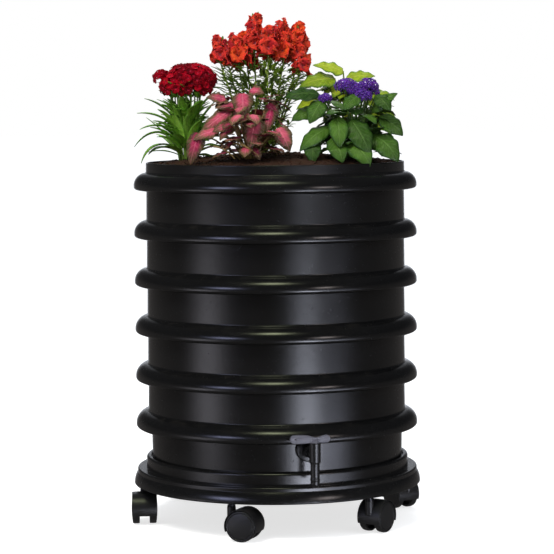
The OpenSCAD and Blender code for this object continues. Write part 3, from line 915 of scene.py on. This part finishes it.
def soil_material():
    """Dark crumbly mix with a few pale specks."""
    material, g = new_material("potting_mix")
    patch = g.noise(90.0, 6.0)
    speck = g.span(g.noise(700.0, 2.0), 0.62, 0.72)
    base = g.mix(patch, colour(0.010, 0.0055, 0.0035), colour(0.050, 0.023, 0.014))
    base = g.mix(g.math("MULTIPLY", speck, 0.35), base, colour(0.16, 0.09, 0.05))
    inputs = {
        "Base Color": base,
        "Roughness": g.span(patch, 0.3, 0.7, 0.75, 0.95),
        "Specular IOR Level": 0.3,
        "Normal": g.bump(g.noise(900.0, 5.0), 0.0006, 0.8),
    }
    g.surface(inputs)
    return material


# ------------------------------------------------------------------ leaves, petals and stems

LANCE = (0.75, 0.8)
OVATE = (0.55, 0.85)
PETAL = (1.15, 0.32)
HEART = (0.36, 0.9)


class Foliage:
    """One mesh of leaves, petals and stems. Its points carry what the materials read:
    along and across the blade, and a tone of its own for each blade."""

    def __init__(self, seed):
        self.rng = random.Random(seed)
        self.verts, self.faces = [], []
        self.along, self.across, self.tone = [], [], []

    def grid(self, rows, cols, point, tone):
        """Adds a patch of faces; point(t, s) gives its shape for t in 0..1 and s in -1..1."""
        start = len(self.verts)
        for i in range(rows + 1):
            for j in range(cols + 1):
                t, s = i / rows, 2 * j / cols - 1
                self.verts.append(point(t, s))
                self.along.append(t)
                self.across.append(s)
                self.tone.append(tone)
        wide = cols + 1
        for i in range(rows):
            for j in range(cols):
                a = start + i * wide + j
                self.faces.append((a, a + 1, a + 1 + wide, a + wide))

    def blade(self, base, tip, width, rise=0.0, up=UP, shape=OVATE, fold=0.25, wave=0.0, curl=0.0,
              teeth=0, rows=12, cols=6, tone=None, twist=0.0):
        """A leaf or petal from base to tip. rise bows its middle along up, fold lifts its two
        halves, wave ruffles its edge, curl rolls its tip over, and teeth notch its margin."""
        rng = self.rng
        base, tip = Vector(base), Vector(tip)
        along = tip - base
        length = max(along.length, 1e-5)
        side = along.cross(up)
        if side.length < 1e-6:
            side = along.cross(Vector((1, 0, 0.2)))
        side.normalize()
        normal = side.cross(along).normalized()
        middle = (base + tip) / 2 + normal * rise
        a, b = shape
        peak = a / (a + b)
        top = peak ** a * (1 - peak) ** b
        phase, ripple = rng.uniform(0, TURN), rng.uniform(2.2, 3.4)
        turn = twist + rng.uniform(-0.1, 0.1)

        def point(t, s):
            spine = base * (1 - t) ** 2 + middle * 2 * t * (1 - t) + tip * t ** 2
            slope = (middle - base) * (1 - t) + (tip - middle) * t
            out = side.cross(slope).normalized()
            tt = min(max(t, 0.015), 0.985)
            half = width / 2 * (tt ** a * (1 - tt) ** b) / top
            if teeth:
                half *= 1 + 0.10 * (abs((t * teeth) % 1 - 0.5) * 2 - 0.5) * (abs(s) ** 3)
            angle = turn * t
            across = side * math.cos(angle) + out * math.sin(angle)
            lift = out * math.cos(angle) - side * math.sin(angle)
            edge = wave * half * abs(s) ** 1.6 * math.sin(phase + t * TURN * ripple + s)
            drop = curl * length * max(0, t - 0.55) ** 2
            return spine + across * (half * s) + lift * (fold * half * abs(s) ** 1.4 + edge) - out * drop

        self.grid(rows, cols, point, self.rng.random() if tone is None else tone)

    def stem(self, points, radius, thin=0.6, steps=8):
        """A tapered round stem through a smooth curve from the first point to the last."""
        sides = 6
        points = [Vector(p) for p in points]
        if len(points) == 2:
            points.insert(1, (points[0] + points[1]) / 2 + Vector((0, 0, 0.002)))
        tone = self.rng.random()
        spine = [
            points[0] * (1 - t) ** 2 + points[1] * 2 * t * (1 - t) + points[2] * t ** 2
            for t in [i / steps for i in range(steps + 1)]
        ]
        start = len(self.verts)
        for i, p in enumerate(spine):
            forward = (spine[min(i + 1, steps)] - spine[max(i - 1, 0)]).normalized()
            u = forward.cross(Vector((0.3, 1, 0.1))).normalized()
            v = forward.cross(u)
            r = radius * (1 + (thin - 1) * i / steps)
            for k in range(sides):
                a = 2 * math.pi * k / sides
                self.verts.append(p + (u * math.cos(a) + v * math.sin(a)) * r)
                self.along.append(i / steps)
                self.across.append(0.0)
                self.tone.append(tone)
        for i in range(steps):
            for k in range(sides):
                n = (k + 1) % sides
                a = start + i * sides
                self.faces.append((a + k, a + n, a + sides + n, a + sides + k))
        self.faces.append(tuple(start + k for k in range(sides - 1, -1, -1)))
        self.faces.append(tuple(start + steps * sides + k for k in range(sides)))

    def shoot(self, root, end, bow, radius, thin=0.6):
        """A stem from root to end whose middle is moved by bow, in mm."""
        self.stem((root, (root + end) / 2 + mm(*bow), end), radius * MM, thin)

    def finish(self, name, slot, material, thickness, node):
        """Makes the mesh object, with a thickness if one is given, and settles it on the planter."""
        obj = new_object(name, self.verts, self.faces, 80)
        for key, values in (("along", self.along), ("across", self.across), ("tone", self.tone)):
            layer = obj.data.attributes.new(key, "FLOAT", "POINT")
            layer.data.foreach_set("value", values)
        if thickness:
            solid = obj.modifiers.new("thickness", "SOLIDIFY")
            solid.thickness = thickness
            solid.offset = -1
            bake_modifiers(obj)
        settle(obj, "planter", slot, material, node)


def leaf_material(name, inner, outer, margin, vein, veins=9.0, edge=(0.62, 0.95), rough=0.42, gloss=0.45):
    """Leaf blade: inner colour, an outer colour, a margin, and sunken veins that branch from a midrib."""
    material, g = new_material(name)
    along, across, tone = g.attribute("along"), g.attribute("across"), g.attribute("tone")
    aside = g.math("ABSOLUTE", across)
    mottle = g.noise(260.0, 5.0)
    wobble = g.math("MULTIPLY", g.math("SUBTRACT", mottle, 0.5), 0.5)
    outwards = g.math("MAXIMUM", aside, g.math("SUBTRACT", along, 0.1))
    border = g.span(g.math("ADD", outwards, wobble), *edge)
    midrib = g.span(aside, 0.03, 0.11, 1.0, 0.0)
    slanted = g.math("SUBTRACT", along, g.math("MULTIPLY", aside, 0.28))
    branch = g.math("FRACT", g.math("MULTIPLY", slanted, veins))
    branch = g.math("ABSOLUTE", g.math("SUBTRACT", branch, 0.5))
    ribs = g.math("MULTIPLY", g.span(branch, 0.02, 0.12, 1.0, 0.0), g.span(aside, 0.75, 1.0, 1.0, 0.0))
    lines = g.math("MAXIMUM", midrib, g.math("MULTIPLY", ribs, 0.75))
    body = g.mix(tone, colour(*inner), colour(*outer))
    body = g.mix(border, body, colour(*margin))
    shade = g.span(g.math("ADD", mottle, g.math("MULTIPLY", tone, 0.4)), 0.35, 1.0, 0.62, 1.28)
    body = g.mix(g.math("MULTIPLY", lines, 0.5), body, colour(*vein))
    height = g.math("SUBTRACT", g.math("MULTIPLY", g.noise(900.0, 3.0), 0.4), lines)
    inputs = {
        "Base Color": g.darken(body, shade),
        "Roughness": g.span(mottle, 0.3, 0.7, rough - 0.06, rough + 0.08),
        "Specular IOR Level": gloss,
        "Subsurface Weight": 0.12,
        "Subsurface Radius": (0.4, 0.6, 0.15),
        "Subsurface Scale": 0.002,
        "Normal": g.bump(height, 0.0007, 0.7),
    }
    g.surface(inputs)
    return material


def petal_material(name, throat, middle, edge, other, rough=0.5, gloss=0.2, sheen=0.1):
    """Petal: throat to edge along its length, every petal a little different, with fine streaks."""
    material, g = new_material(name)
    along, across, tone = g.attribute("along"), g.attribute("across"), g.attribute("tone")
    streak = g.math("SINE", g.math("MULTIPLY", across, 26.0))
    body = g.mix(tone, colour(*middle), colour(*other))
    body = g.mix(g.span(along, 0.0, 0.35, 1.0, 0.0), body, colour(*throat))
    body = g.mix(g.span(along, 0.72, 1.0), body, colour(*edge))
    mottle = g.noise(500.0, 4.0)
    shade = g.span(g.math("ADD", mottle, g.math("MULTIPLY", streak, 0.06)), 0.25, 0.8, 0.68, 1.25)
    inputs = {
        "Base Color": g.darken(body, shade),
        "Roughness": g.span(mottle, 0.3, 0.7, rough - 0.05, rough + 0.1),
        "Specular IOR Level": gloss,
        "Sheen Weight": sheen,
        "Subsurface Weight": 0.15,
        "Subsurface Radius": (0.8, 0.2, 0.2),
        "Subsurface Scale": 0.002,
        "Normal": g.bump(g.math("ADD", mottle, g.math("MULTIPLY", streak, 0.3)), 0.0004, 0.6),
    }
    g.surface(inputs)
    return material


def golden_directions(count, lowest):
    """Directions spread evenly over the part of a sphere above a height."""
    out = []
    for i in range(count):
        z = 1 - (1 - lowest) * (i + 0.5) / count
        a = i * GOLDEN
        flat = math.sqrt(max(0.0, 1 - z * z))
        out.append(Vector((flat * math.cos(a), flat * math.sin(a), z)))
    return out


def floret(flowers, centre, facing, size, fringe=0.0, cup=0.25, cols=4, rows=4):
    """A flat flower of five petals round a centre."""
    petals = 5
    rng = flowers.rng
    u = facing.cross(Vector((0.2, 0.1, 1))).normalized() if abs(facing.z) < 0.95 else Vector((1, 0, 0))
    v = facing.cross(u).normalized()
    spin = rng.uniform(0, TURN)
    tone = rng.random()
    for i in range(petals):
        a = spin + 2 * math.pi * i / petals
        out = u * math.cos(a) + v * math.sin(a)
        tip = centre + out * size / 2 + facing * (size * cup * rng.uniform(0.3, 1.0))
        flowers.blade(
            centre, tip, size * 2.3 / petals, rise=size * 0.05, up=facing, shape=PETAL, fold=0.1,
            wave=fringe, rows=rows, cols=cols, tone=min(1, max(0, tone + rng.uniform(-0.2, 0.2))),
        )


def mm(x, y, z):
    return Vector((x, y, z)) * MM


def outward(angle, rise):
    """A direction at an angle round Z. Its level part is 1 long."""
    return Vector((math.cos(angle), math.sin(angle), rise))


def plant_foot(node):
    """Where a plant stands: the middle of its CAD node, at the soil."""
    low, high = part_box(node)
    return Vector(((low.x + high.x) / 2, (low.y + high.y) / 2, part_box("soil")[1].z - 6 * MM))


def inside_plant(point, node, spare=0.004):
    """Pulls a point into the node's box."""
    low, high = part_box(node)
    return Vector(
        min(max(c, lowest - spare), highest + spare) for c, lowest, highest in zip(point, low, high)
    )


def outer_leaves(leaves, stems, node, table, bow, radius, **blade):
    """Big leaves that show, each on a stem from the root. A row of the table holds its base and
    tip as offsets from the foot in mm, its width and how far it bows."""
    foot = plant_foot(node)
    root = foot + mm(0, 0, -8)
    for base, tip, width, rise in table:
        base, tip = foot + mm(*base), foot + mm(*tip)
        leaves.blade(base, tip, width * MM, rise * MM, **blade)
        stems.shoot(root, base, bow, radius)


def inner_leaves(leaves, stems, node, count, ranges, radius, spare=0.004, **blade):
    """Leaves all round the inside of a plant, every fourth on a stem from the root. ranges holds
    the lowest and highest reach, height, slope, length, width and bow."""
    rng = leaves.rng
    reaches, heights, slopes, lengths, widths, bows = ranges
    foot = plant_foot(node)
    root = foot + mm(0, 0, -8)
    for i in range(count):
        a = i * GOLDEN + rng.uniform(-0.25, 0.25)
        reach, height = rng.uniform(*reaches), rng.uniform(*heights)
        spot = foot + mm(reach * math.cos(a), reach * math.sin(a), height)
        out = outward(a, rng.uniform(*slopes))
        tip = inside_plant(spot + out * rng.uniform(*lengths) * MM, node, spare)
        leaves.blade(spot, tip, rng.uniform(*widths) * MM, rng.uniform(*bows) * MM, cols=8, **blade)
        if i % 4 == 0:
            stems.shoot(root, spot, (0, 0, 10), radius)


# ------------------------------------------------------------------ the five plants

def build_sweet_william():
    """Dense clump of lance leaves under a domed head of fringed dark red florets."""
    node = "plant_left"
    foot = plant_foot(node)
    top_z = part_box(node)[1].z
    leaves, stems, heads = Foliage(11), Foliage(12), Foliage(13)
    rng = leaves.rng
    arching = (
        # root offset, tip offset from the foot in mm, width, rise
        ((-8, -8, 30), (-66, -14, 62), 14, 20),
        ((-10, -10, 24), (-70, -18, 16), 15, 30),
        ((-12, -14, 14), (-60, -34, -6), 13, 28),
        ((-10, -4, 44), (-56, -4, 82), 14, 12),
        ((-10, -8, 30), (-62, -20, 40), 13, 18),
        ((-14, -10, 10), (-50, -30, 6), 13, 14),
        ((-6, -16, 12), (-38, -40, 30), 14, 10),
        ((-2, -16, 14), (-20, -36, 66), 13, 8),
        ((2, -16, 10), (4, -40, 60), 13, 10),
        ((6, -16, 12), (22, -38, 52), 13, 10),
        ((10, -16, 18), (36, -26, 70), 12, 10),
        ((12, -10, 20), (44, -10, 80), 12, 12),
    )
    for root, tip, width, rise in arching:
        leaves.blade(foot + mm(*root), foot + mm(*tip), width * MM, rise * MM, shape=LANCE, fold=0.35)
    for i in range(84):
        a = i * GOLDEN + rng.uniform(-0.3, 0.3)
        level = rng.uniform(0, 52)
        reach = rng.uniform(30, 56) * (1 - level / 130)
        climb = rng.uniform(6, 46) if level > 10 else rng.uniform(-4, 40)
        out = outward(a, 0)
        root = foot + out * rng.uniform(3, 12) * MM + UP * level * MM
        tip = root + out * reach * MM + UP * climb * MM
        leaves.blade(
            root, inside_plant(tip, node), rng.uniform(8, 13) * MM, rng.uniform(4, 14) * MM,
            shape=LANCE, fold=0.3, wave=0.05, twist=rng.uniform(-0.4, 0.4),
        )
    for i in range(16):
        a = i * GOLDEN
        foot_of = foot + mm(8 * math.cos(a), 8 * math.sin(a), -8)
        top = Vector((foot.x, foot.y, top_z - 26 * MM)) + mm(22 * math.cos(a), 20 * math.sin(a), 0)
        stems.stem((foot_of, (foot_of + top) / 2 + mm(3 * math.cos(a), 3 * math.sin(a), 0), top), 1.5 * MM)
        for level in (0.35, 0.6, 0.8):
            spot = foot_of.lerp(top, level)
            for side in (0, math.pi):
                b = a + 1.3 + side + level
                out = outward(b, rng.uniform(0.2, 0.9))
                leaves.blade(
                    spot, inside_plant(spot + out * rng.uniform(20, 32) * MM, node), 7 * MM, 4 * MM,
                    shape=LANCE, fold=0.35, rows=8, cols=4,
                )
    domes = (
        # centre offset from the head's middle in mm, then its three half sizes
        ((7, 0, 0), (35, 34, 23), 108),
        ((-13, -14, -9), (22, 20, 19), 44),
        ((12, -15, -12), (24, 19, 17), 36),
        ((-33, -6, 4), (10, 10, 9), 14),
    )
    middle = Vector((foot.x + 1 * MM, foot.y, top_z - 25 * MM))
    for offset, (a, b, c), count in domes:
        for direction in golden_directions(count, -0.35):
            spread = Vector((direction.x * a, direction.y * b, direction.z * c)) * MM
            facing = Vector((direction.x / a, direction.y / b, direction.z / c)).normalized()
            spot = middle + mm(*offset) + spread * rng.uniform(0.9, 1.0)
            floret(heads, spot, facing, rng.uniform(10, 13) * MM, fringe=0.22, rows=4, cols=6)
    for direction in golden_directions(90, -0.9):
        if direction.z > -0.15:
            continue
        spread = Vector((direction.x * 36, direction.y * 33, direction.z * 17)) * MM
        spot = middle + spread * 0.85
        leaves.blade(
            spot, spot + (direction + UP * 0.4) * 11 * MM, 2.5 * MM, 1 * MM, shape=LANCE, rows=4, cols=2
        )
    green = leaf_material(
        "sweet_william_leaf", (0.110, 0.270, 0.026), (0.280, 0.480, 0.060), (0.110, 0.260, 0.026),
        (0.280, 0.470, 0.090), veins=3.0,
    )
    leaves.finish("sweet_william_leaves", node, green, 0.4 * MM, node)
    stems.finish("sweet_william_stems", node, green, 0, node)
    red = petal_material(
        "sweet_william_petal", (0.50, 0.030, 0.070), (0.38, 0.0010, 0.011), (0.20, 0.0004, 0.006),
        (0.09, 0.0004, 0.004), gloss=0.12, sheen=0.0,
    )
    heads.finish("sweet_william_head", node, red, 0.35 * MM, node)


def snapdragon_bloom(blooms, calyx, spot, facing, size):
    """Two upright upper petals, three flared lower ones, and a pouch behind them."""
    rng = blooms.rng
    facing = facing.normalized()
    side = facing.cross(UP)
    side = side.normalized() if side.length > 0.1 else Vector((1, 0, 0))
    up = side.cross(facing).normalized()
    tone = rng.random()
    throat = spot - facing * size * 0.45
    petals = (
        # angle in degrees, length and width as shares of the bloom's size
        (60, 1.0, 0.85), (120, 1.0, 0.85), (200, 0.85, 0.8), (270, 0.9, 0.9), (340, 0.85, 0.8),
    )
    for angle, long, wide in petals:
        a = math.radians(angle + rng.uniform(-14, 14))
        out = side * math.cos(a) + up * math.sin(a)
        tip = spot + out * size * 0.62 * long + facing * size * rng.uniform(-0.05, 0.3)
        blooms.blade(
            throat, tip, size * wide, rise=size * rng.uniform(0.10, 0.22), up=facing, shape=PETAL,
            fold=-0.2, wave=0.50, rows=9, cols=8, curl=0.5,
            tone=min(1, max(0, tone + rng.uniform(-0.25, 0.25))),
        )
    for angle in (20, 90, 160, 270):
        a = math.radians(angle)
        out = side * math.cos(a) + up * math.sin(a)
        back = throat - facing * size * 0.25
        calyx.blade(back, throat + out * size * 0.18, size * 0.2, up=out, shape=LANCE, rows=4, cols=2)


def build_snapdragons():
    """Loose red-orange spikes on thin stems that carry many small leaves."""
    node = "plant_back"
    foot = plant_foot(node)
    top_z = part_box(node)[1].z
    leaves, stems, blooms = Foliage(21), Foliage(22), Foliage(23)
    rng = leaves.rng
    spikes = (
        # foot, lowest bloom and tip as offsets from the plant's foot in mm, number of blooms, their scale
        ((-8, -6), (-55, -22, 132), (-55, -22, 162), 8, 0.85),
        ((-5, 0), (-30, -10, 132), (-34, -10, 164), 10, 1.0),
        ((0, 2), (-8, -4, 146), (-6, 2, 196), 12, 0.9),
        ((6, 0), (34, -4, 138), (30, 0, 184), 14, 1.0),
        ((6, -4), (12, -18, 142), (14, -16, 172), 9, 1.0),
        ((8, 6), (54, 4, 134), (54, 6, 180), 11, 0.95),
        ((2, 8), (22, 30, 136), (14, 34, 176), 8, 1.0),
        ((-4, 8), (-18, 30, 128), (-20, 32, 168), 8, 0.95),
        ((6, -2), (56, -14, 116), (60, -14, 132), 5, 0.85),
        ((-6, 4), (-44, 22, 126), (-44, 20, 156), 5, 0.9),
    )
    for (fx, fy), first, tip, count, scale in spikes:
        start = foot + mm(fx, fy, -10)
        first, tip = foot + mm(*first), foot + mm(*tip)
        knee = start.lerp(first, 0.6)
        knee.z = start.z * 0.45 + first.z * 0.55
        stems.stem((start, knee, first), 1.5 * MM, 0.75, steps=12)
        stems.stem((first, (first + tip) / 2, tip), 1.1 * MM, 0.4)
        for i in range(count):
            t = (i + 0.3) / count
            a = i * GOLDEN + rng.uniform(-0.4, 0.4)
            out = outward(a, 0.25)
            spot = first.lerp(tip, t) + out * (13 - 6 * t) * MM
            spot.z = min(spot.z, top_z - 9 * MM)
            snapdragon_bloom(blooms, leaves, spot, out, (21 - 7 * t) * scale * MM)
        for i in range(3):
            a = i * 2.1 + rng.random()
            bud = tip + mm(3 * math.cos(a), 3 * math.sin(a), -2 - 2 * i)
            end = bud + mm(2 * math.cos(a), 2 * math.sin(a), 8)
            end.z = min(end.z, top_z + 3 * MM)
            for turn in (0, 2.1, 4.2):
                out = outward(a + turn, 0)
                leaves.blade(bud, end, 3.5 * MM, 1.2 * MM, up=out, shape=LANCE, rows=5, cols=2)
        for i in range(34):
            t = i / 34
            a = i * GOLDEN + rng.uniform(-0.3, 0.3)
            spot = start * (1 - t) ** 2 + knee * 2 * t * (1 - t) + first * t ** 2
            if spot.z < foot.z + 6 * MM:
                continue
            out = outward(a, rng.uniform(-0.1, 0.7))
            length = rng.uniform(15, 27) * (1.1 - 0.4 * t) * MM
            leaves.blade(
                spot, spot + out * length, rng.uniform(3.5, 6) * MM, rng.uniform(0, 3) * MM,
                shape=LANCE, fold=0.3, rows=6, cols=2,
            )
    for i in range(26):
        a = i * GOLDEN
        start = foot + mm(6 * math.cos(a), 6 * math.sin(a), -6)
        reach_x, reach_y = rng.uniform(24, 50), rng.uniform(24, 44)
        end = foot + mm(reach_x * math.cos(a), reach_y * math.sin(a), rng.uniform(50, 108))
        stems.shoot(start, end, (0, 0, 8), 0.9)
        for j in range(14):
            t = 0.2 + 0.8 * j / 14
            b = j * GOLDEN + a
            out = outward(b, rng.uniform(0.0, 0.8))
            spot = start.lerp(end, t) + mm(0, 0, 16 * t * (1 - t))
            leaves.blade(
                spot, spot + out * rng.uniform(11, 20) * MM, rng.uniform(3, 5) * MM, 2 * MM,
                shape=LANCE, rows=5, cols=2,
            )
    for i in range(330):
        direction = Vector((rng.gauss(0, 1), rng.gauss(0, 1), rng.gauss(0, 1))).normalized()
        spread = Vector((direction.x * 66, direction.y * 44, direction.z * 34)) * rng.uniform(0.2, 1.0) ** 0.4
        spot = foot + mm(6, 0, 100) + spread * MM
        out = Vector((direction.x, direction.y, rng.uniform(-0.3, 0.8)))
        leaves.blade(
            spot, inside_plant(spot + out * rng.uniform(12, 20) * MM, node), rng.uniform(3.5, 6) * MM, 2 * MM,
            shape=LANCE, fold=0.3, rows=5, cols=2,
        )
    green = leaf_material(
        "snapdragon_leaf", (0.095, 0.170, 0.018), (0.240, 0.340, 0.040), (0.100, 0.180, 0.022),
        (0.260, 0.340, 0.080), veins=2.0,
    )
    leaves.finish("snapdragon_leaves", node, green, 0.35 * MM, node)
    stems.finish("snapdragon_stems", node, green, 0, node)
    red = petal_material(
        "snapdragon_petal", (0.56, 0.14, 0.20), (0.78, 0.085, 0.012), (0.68, 0.030, 0.016),
        (0.40, 0.010, 0.020),
    )
    blooms.finish("snapdragon_blooms", node, red, 0.4 * MM, node)


def build_coleus():
    """Pink leaves with brown-green margins on pale creeping stems, low at the front."""
    node = "plant_front"
    foot = plant_foot(node)
    leaves, stems = Foliage(31), Foliage(32)
    rng = leaves.rng
    faced = (
        # base and tip of each big leaf as offsets from the foot in mm, its width and its tone
        ((-66, -22, 36), (-78, -34, -6), 24, 0.15),
        ((-8, -6, 88), (-6, -26, 58), 30, 0.55),
        ((-14, -4, 72), (-44, -16, 70), 18, 0.5),
        ((-24, -8, 66), (-66, -22, 34), 22, 0.75),
        ((0, -16, 62), (-30, -28, 44), 18, 0.45),
        ((30, -8, 66), (24, -26, 36), 18, 0.1),
        ((10, -20, 54), (2, -38, 14), 30, 0.85),
        ((-40, -20, 40), (-74, -30, 28), 20, 0.9),
        ((-20, -24, 46), (-48, -34, 38), 18, 0.7),
        ((6, -30, 16), (16, -40, 0), 16, 0.35),
        ((40, -14, 42), (56, -20, 10), 26, 0.95),
        ((26, 0, 74), (40, -8, 56), 20, 0.4),
        ((-30, -2, 80), (-56, -8, 84), 18, 0.6),
        ((2, -2, 92), (22, -10, 88), 18, 0.65),
    )
    root = foot + mm(0, 0, -8)
    for base, tip, width, tone in faced:
        base, tip = foot + mm(*base), foot + mm(*tip)
        leaves.blade(
            base, tip, width * MM, rng.uniform(3, 6) * MM, up=Vector((0, -0.9, 0.6)), shape=HEART, fold=-0.16,
            wave=0.22, teeth=9, rows=22, cols=10, tone=tone, curl=0.4,
        )
        stems.stem((root + (base - root) * 0.15, (root + base) / 2 + mm(0, -4, 10), base), 1.5 * MM, 0.6)
    for i in range(80):
        a = i * GOLDEN + rng.uniform(-0.2, 0.2)
        reach, climb = rng.uniform(12, 52), rng.uniform(8, 84)
        spot = foot + mm(reach * math.cos(a) * 0.8, reach * math.sin(a) * 0.7, climb)
        out = outward(a, rng.uniform(-0.7, 0.25))
        tip = inside_plant(spot + out * rng.uniform(18, 32) * MM, node)
        leaves.blade(
            spot, tip, rng.uniform(14, 22) * MM, 3 * MM, shape=HEART, fold=-0.1, wave=0.12, teeth=9,
            rows=12, cols=8, curl=0.3,
        )
        if i % 3 == 0:
            stems.shoot(root, spot, (0, 0, 8), 1.4)
    runners = (
        # both ends of each creeping stem as offsets from the foot in mm
        ((-46, -30, 18), (-18, -40, 2)),
        ((-20, -36, 22), (14, -42, 4)),
        ((-34, -24, 30), (4, -38, 12)),
    )
    for (x, y, z), end in runners:
        knee = foot + mm((x + end[0]) / 2, y - 8, z)
        stems.stem((foot + mm(x, y, z), knee, foot + mm(*end)), 1.3 * MM)
    pink = leaf_material(
        "coleus_leaf", (0.34, 0.004, 0.070), (0.42, 0.070, 0.110), (0.085, 0.060, 0.024),
        (0.56, 0.150, 0.200), veins=7.0, edge=(0.30, 0.74), rough=0.46,
    )
    leaves.finish("coleus_leaves", node, pink, 0.45 * MM, node)
    stalk = leaf_material(
        "coleus_stem", (0.20, 0.13, 0.04), (0.30, 0.20, 0.07), (0.20, 0.13, 0.05), (0.26, 0.18, 0.07),
        veins=2.0,
    )
    stems.finish("coleus_stems", node, stalk, 0, node)


def build_heliotrope():
    """Broad dark green veined leaves, some over the rim, under purple clusters."""
    node = "plant_right"
    foot = plant_foot(node)
    leaves, stems, heads = Foliage(41), Foliage(42), Foliage(43)
    rng = leaves.rng
    faced = (
        # base and tip of each big leaf as offsets from the foot in mm, its width and how it bows
        ((-22, -40, 56), (-20, -66, 16), 27, 8),
        ((-4, -38, 52), (20, -66, 8), 34, 8),
        ((26, -30, 32), (60, -52, -4), 36, 14),
        ((-46, -20, 86), (-94, -30, 84), 24, 8),
        ((-42, -24, 78), (-60, -44, 48), 26, 6),
        ((-34, -30, 42), (-74, -50, 12), 26, 10),
        ((-28, -44, 28), (-16, -70, -4), 28, 8),
        ((-4, -44, 26), (20, -72, -9), 32, 10),
        ((-56, -36, 28), (-56, -58, -6), 24, 8),
        ((24, -20, 62), (58, -28, 88), 20, 6),
        ((6, -34, 84), (-14, -52, 66), 22, 5),
        ((30, -24, 84), (50, -38, 64), 22, 6),
        ((36, -10, 56), (68, -16, 30), 28, 8),
        ((-50, -16, 66), (-84, -26, 52), 22, 6),
    )
    outer_leaves(
        leaves, stems, node, faced, (0, -2, 14), 1.6, up=Vector((0, -0.8, 0.7)), shape=OVATE,
        fold=-0.18, wave=0.12, rows=20, cols=10, curl=0.35,
    )
    ranges = ((8, 34), (6, 70), (-0.6, 0.4), (24, 42), (17, 26), (3, 9))
    inner_leaves(
        leaves, stems, node, 64, ranges, 1.5, spare=0.010, shape=OVATE, fold=-0.1, wave=0.07,
        rows=14, curl=0.3,
    )
    root = foot + mm(0, 0, -8)
    clusters = (
        # centre as an offset from the foot in mm, radius and number of florets
        ((-10, -14, 96), 15, 60),
        ((6, -18, 90), 14, 56),
        ((20, -14, 96), 14, 56),
        ((12, -26, 82), 13, 50),
        ((-2, 4, 92), 15, 56),
        ((24, 6, 88), 13, 44),
        ((-38, -22, 80), 9, 30),
    )
    for offset, radius, count in clusters:
        centre = foot + mm(*offset)
        for direction in golden_directions(count, -0.45):
            flat = Vector((direction.x, direction.y, direction.z * 0.72))
            spot = centre + flat * radius * MM * rng.uniform(0.85, 1.0)
            floret(heads, spot, direction, rng.uniform(4.6, 6.2) * MM, cup=0.3, rows=2, cols=2)
        stems.shoot(root, centre, (0, 0, 10), 1.8, 0.8)
        for direction in golden_directions(16, -0.8):
            if direction.z < 0.1:
                spot = centre + direction * radius * 0.6 * MM
                leaves.blade(centre, spot + direction * 4 * MM, 4 * MM, 0, shape=LANCE, rows=4, cols=2)
    green = leaf_material(
        "heliotrope_leaf", (0.014, 0.050, 0.006), (0.050, 0.115, 0.011), (0.020, 0.062, 0.007),
        (0.090, 0.165, 0.036), veins=8.0, rough=0.40,
    )
    leaves.finish("heliotrope_leaves", node, green, 0.45 * MM, node)
    stems.finish("heliotrope_stems", node, green, 0, node)
    purple = petal_material(
        "heliotrope_petal", (0.42, 0.30, 0.62), (0.110, 0.018, 0.36), (0.15, 0.03, 0.46), (0.040, 0.006, 0.18)
    )
    heads.finish("heliotrope_heads", node, purple, 0.3 * MM, node)


def build_lime_coleus():
    """Tall yellow-green leaves with scalloped edges behind the heliotrope."""
    node = "plant_right_back"
    leaves, stems = Foliage(51), Foliage(52)
    faced = (
        # base and tip of each big leaf as offsets from the foot in mm, its width and how it bows
        ((-10, -26, 118), (-52, -36, 128), 26, 4),
        ((-22, -30, 108), (-72, -46, 98), 32, 8),
        ((-6, -28, 108), (34, -38, 112), 26, 4),
        ((26, -28, 84), (60, -36, 84), 20, 6),
        ((24, -34, 58), (66, -44, 50), 28, 8),
        ((26, -34, 44), (54, -42, 36), 22, 8),
        ((26, -30, 78), (46, -38, 66), 24, 6),
        ((-44, -20, 80), (-76, -34, 66), 20, 6),
        ((-14, -24, 100), (-24, -42, 82), 26, 6),
    )
    outer_leaves(
        leaves, stems, node, faced, (0, 0, 14), 1.7, up=Vector((0, -0.7, 0.8)), shape=HEART,
        fold=-0.12, wave=0.12, teeth=12, rows=26, cols=10, curl=0.25,
    )
    ranges = ((6, 32), (20, 100), (-0.6, 0.25), (26, 44), (18, 28), (3, 8))
    inner_leaves(
        leaves, stems, node, 60, ranges, 1.6, shape=HEART, fold=-0.12, wave=0.12, teeth=12,
        rows=20, curl=0.25,
    )
    lime = leaf_material(
        "lime_coleus_leaf", (0.100, 0.200, 0.006), (0.290, 0.360, 0.016), (0.080, 0.170, 0.010),
        (0.360, 0.380, 0.050), veins=8.0, rough=0.45,
    )
    leaves.finish("lime_coleus_leaves", node, lime, 0.45 * MM, node)
    stems.finish("lime_coleus_stems", node, lime, 0, node)


# ------------------------------------------------------------------ everything together

add_camera()
light_world()
lamps = (
    # name, azimuth and elevation in degrees, distance, size, power, colour
    ("key", -35, 48, 2.4, 1.1, 52, (1.0, 0.97, 0.92)),
    ("side", 62, 30, 2.4, 1.2, 12, (0.92, 0.95, 1.0)),
    ("back", 170, 50, 2.6, 1.2, 22, (1.0, 1.0, 1.0)),
)
for lamp_values in lamps:
    add_lamp(*lamp_values)
add_floor()

for number in TRAYS:
    build_tray(number)
build_planter_tray()
build_reservoir()
build_base()
build_tap()
build_casters()
build_soil()
build_sweet_william()
build_snapdragons()
build_coleus()
build_heliotrope()
build_lime_coleus()

bpy.context.scene.view_settings.view_transform = "Standard"
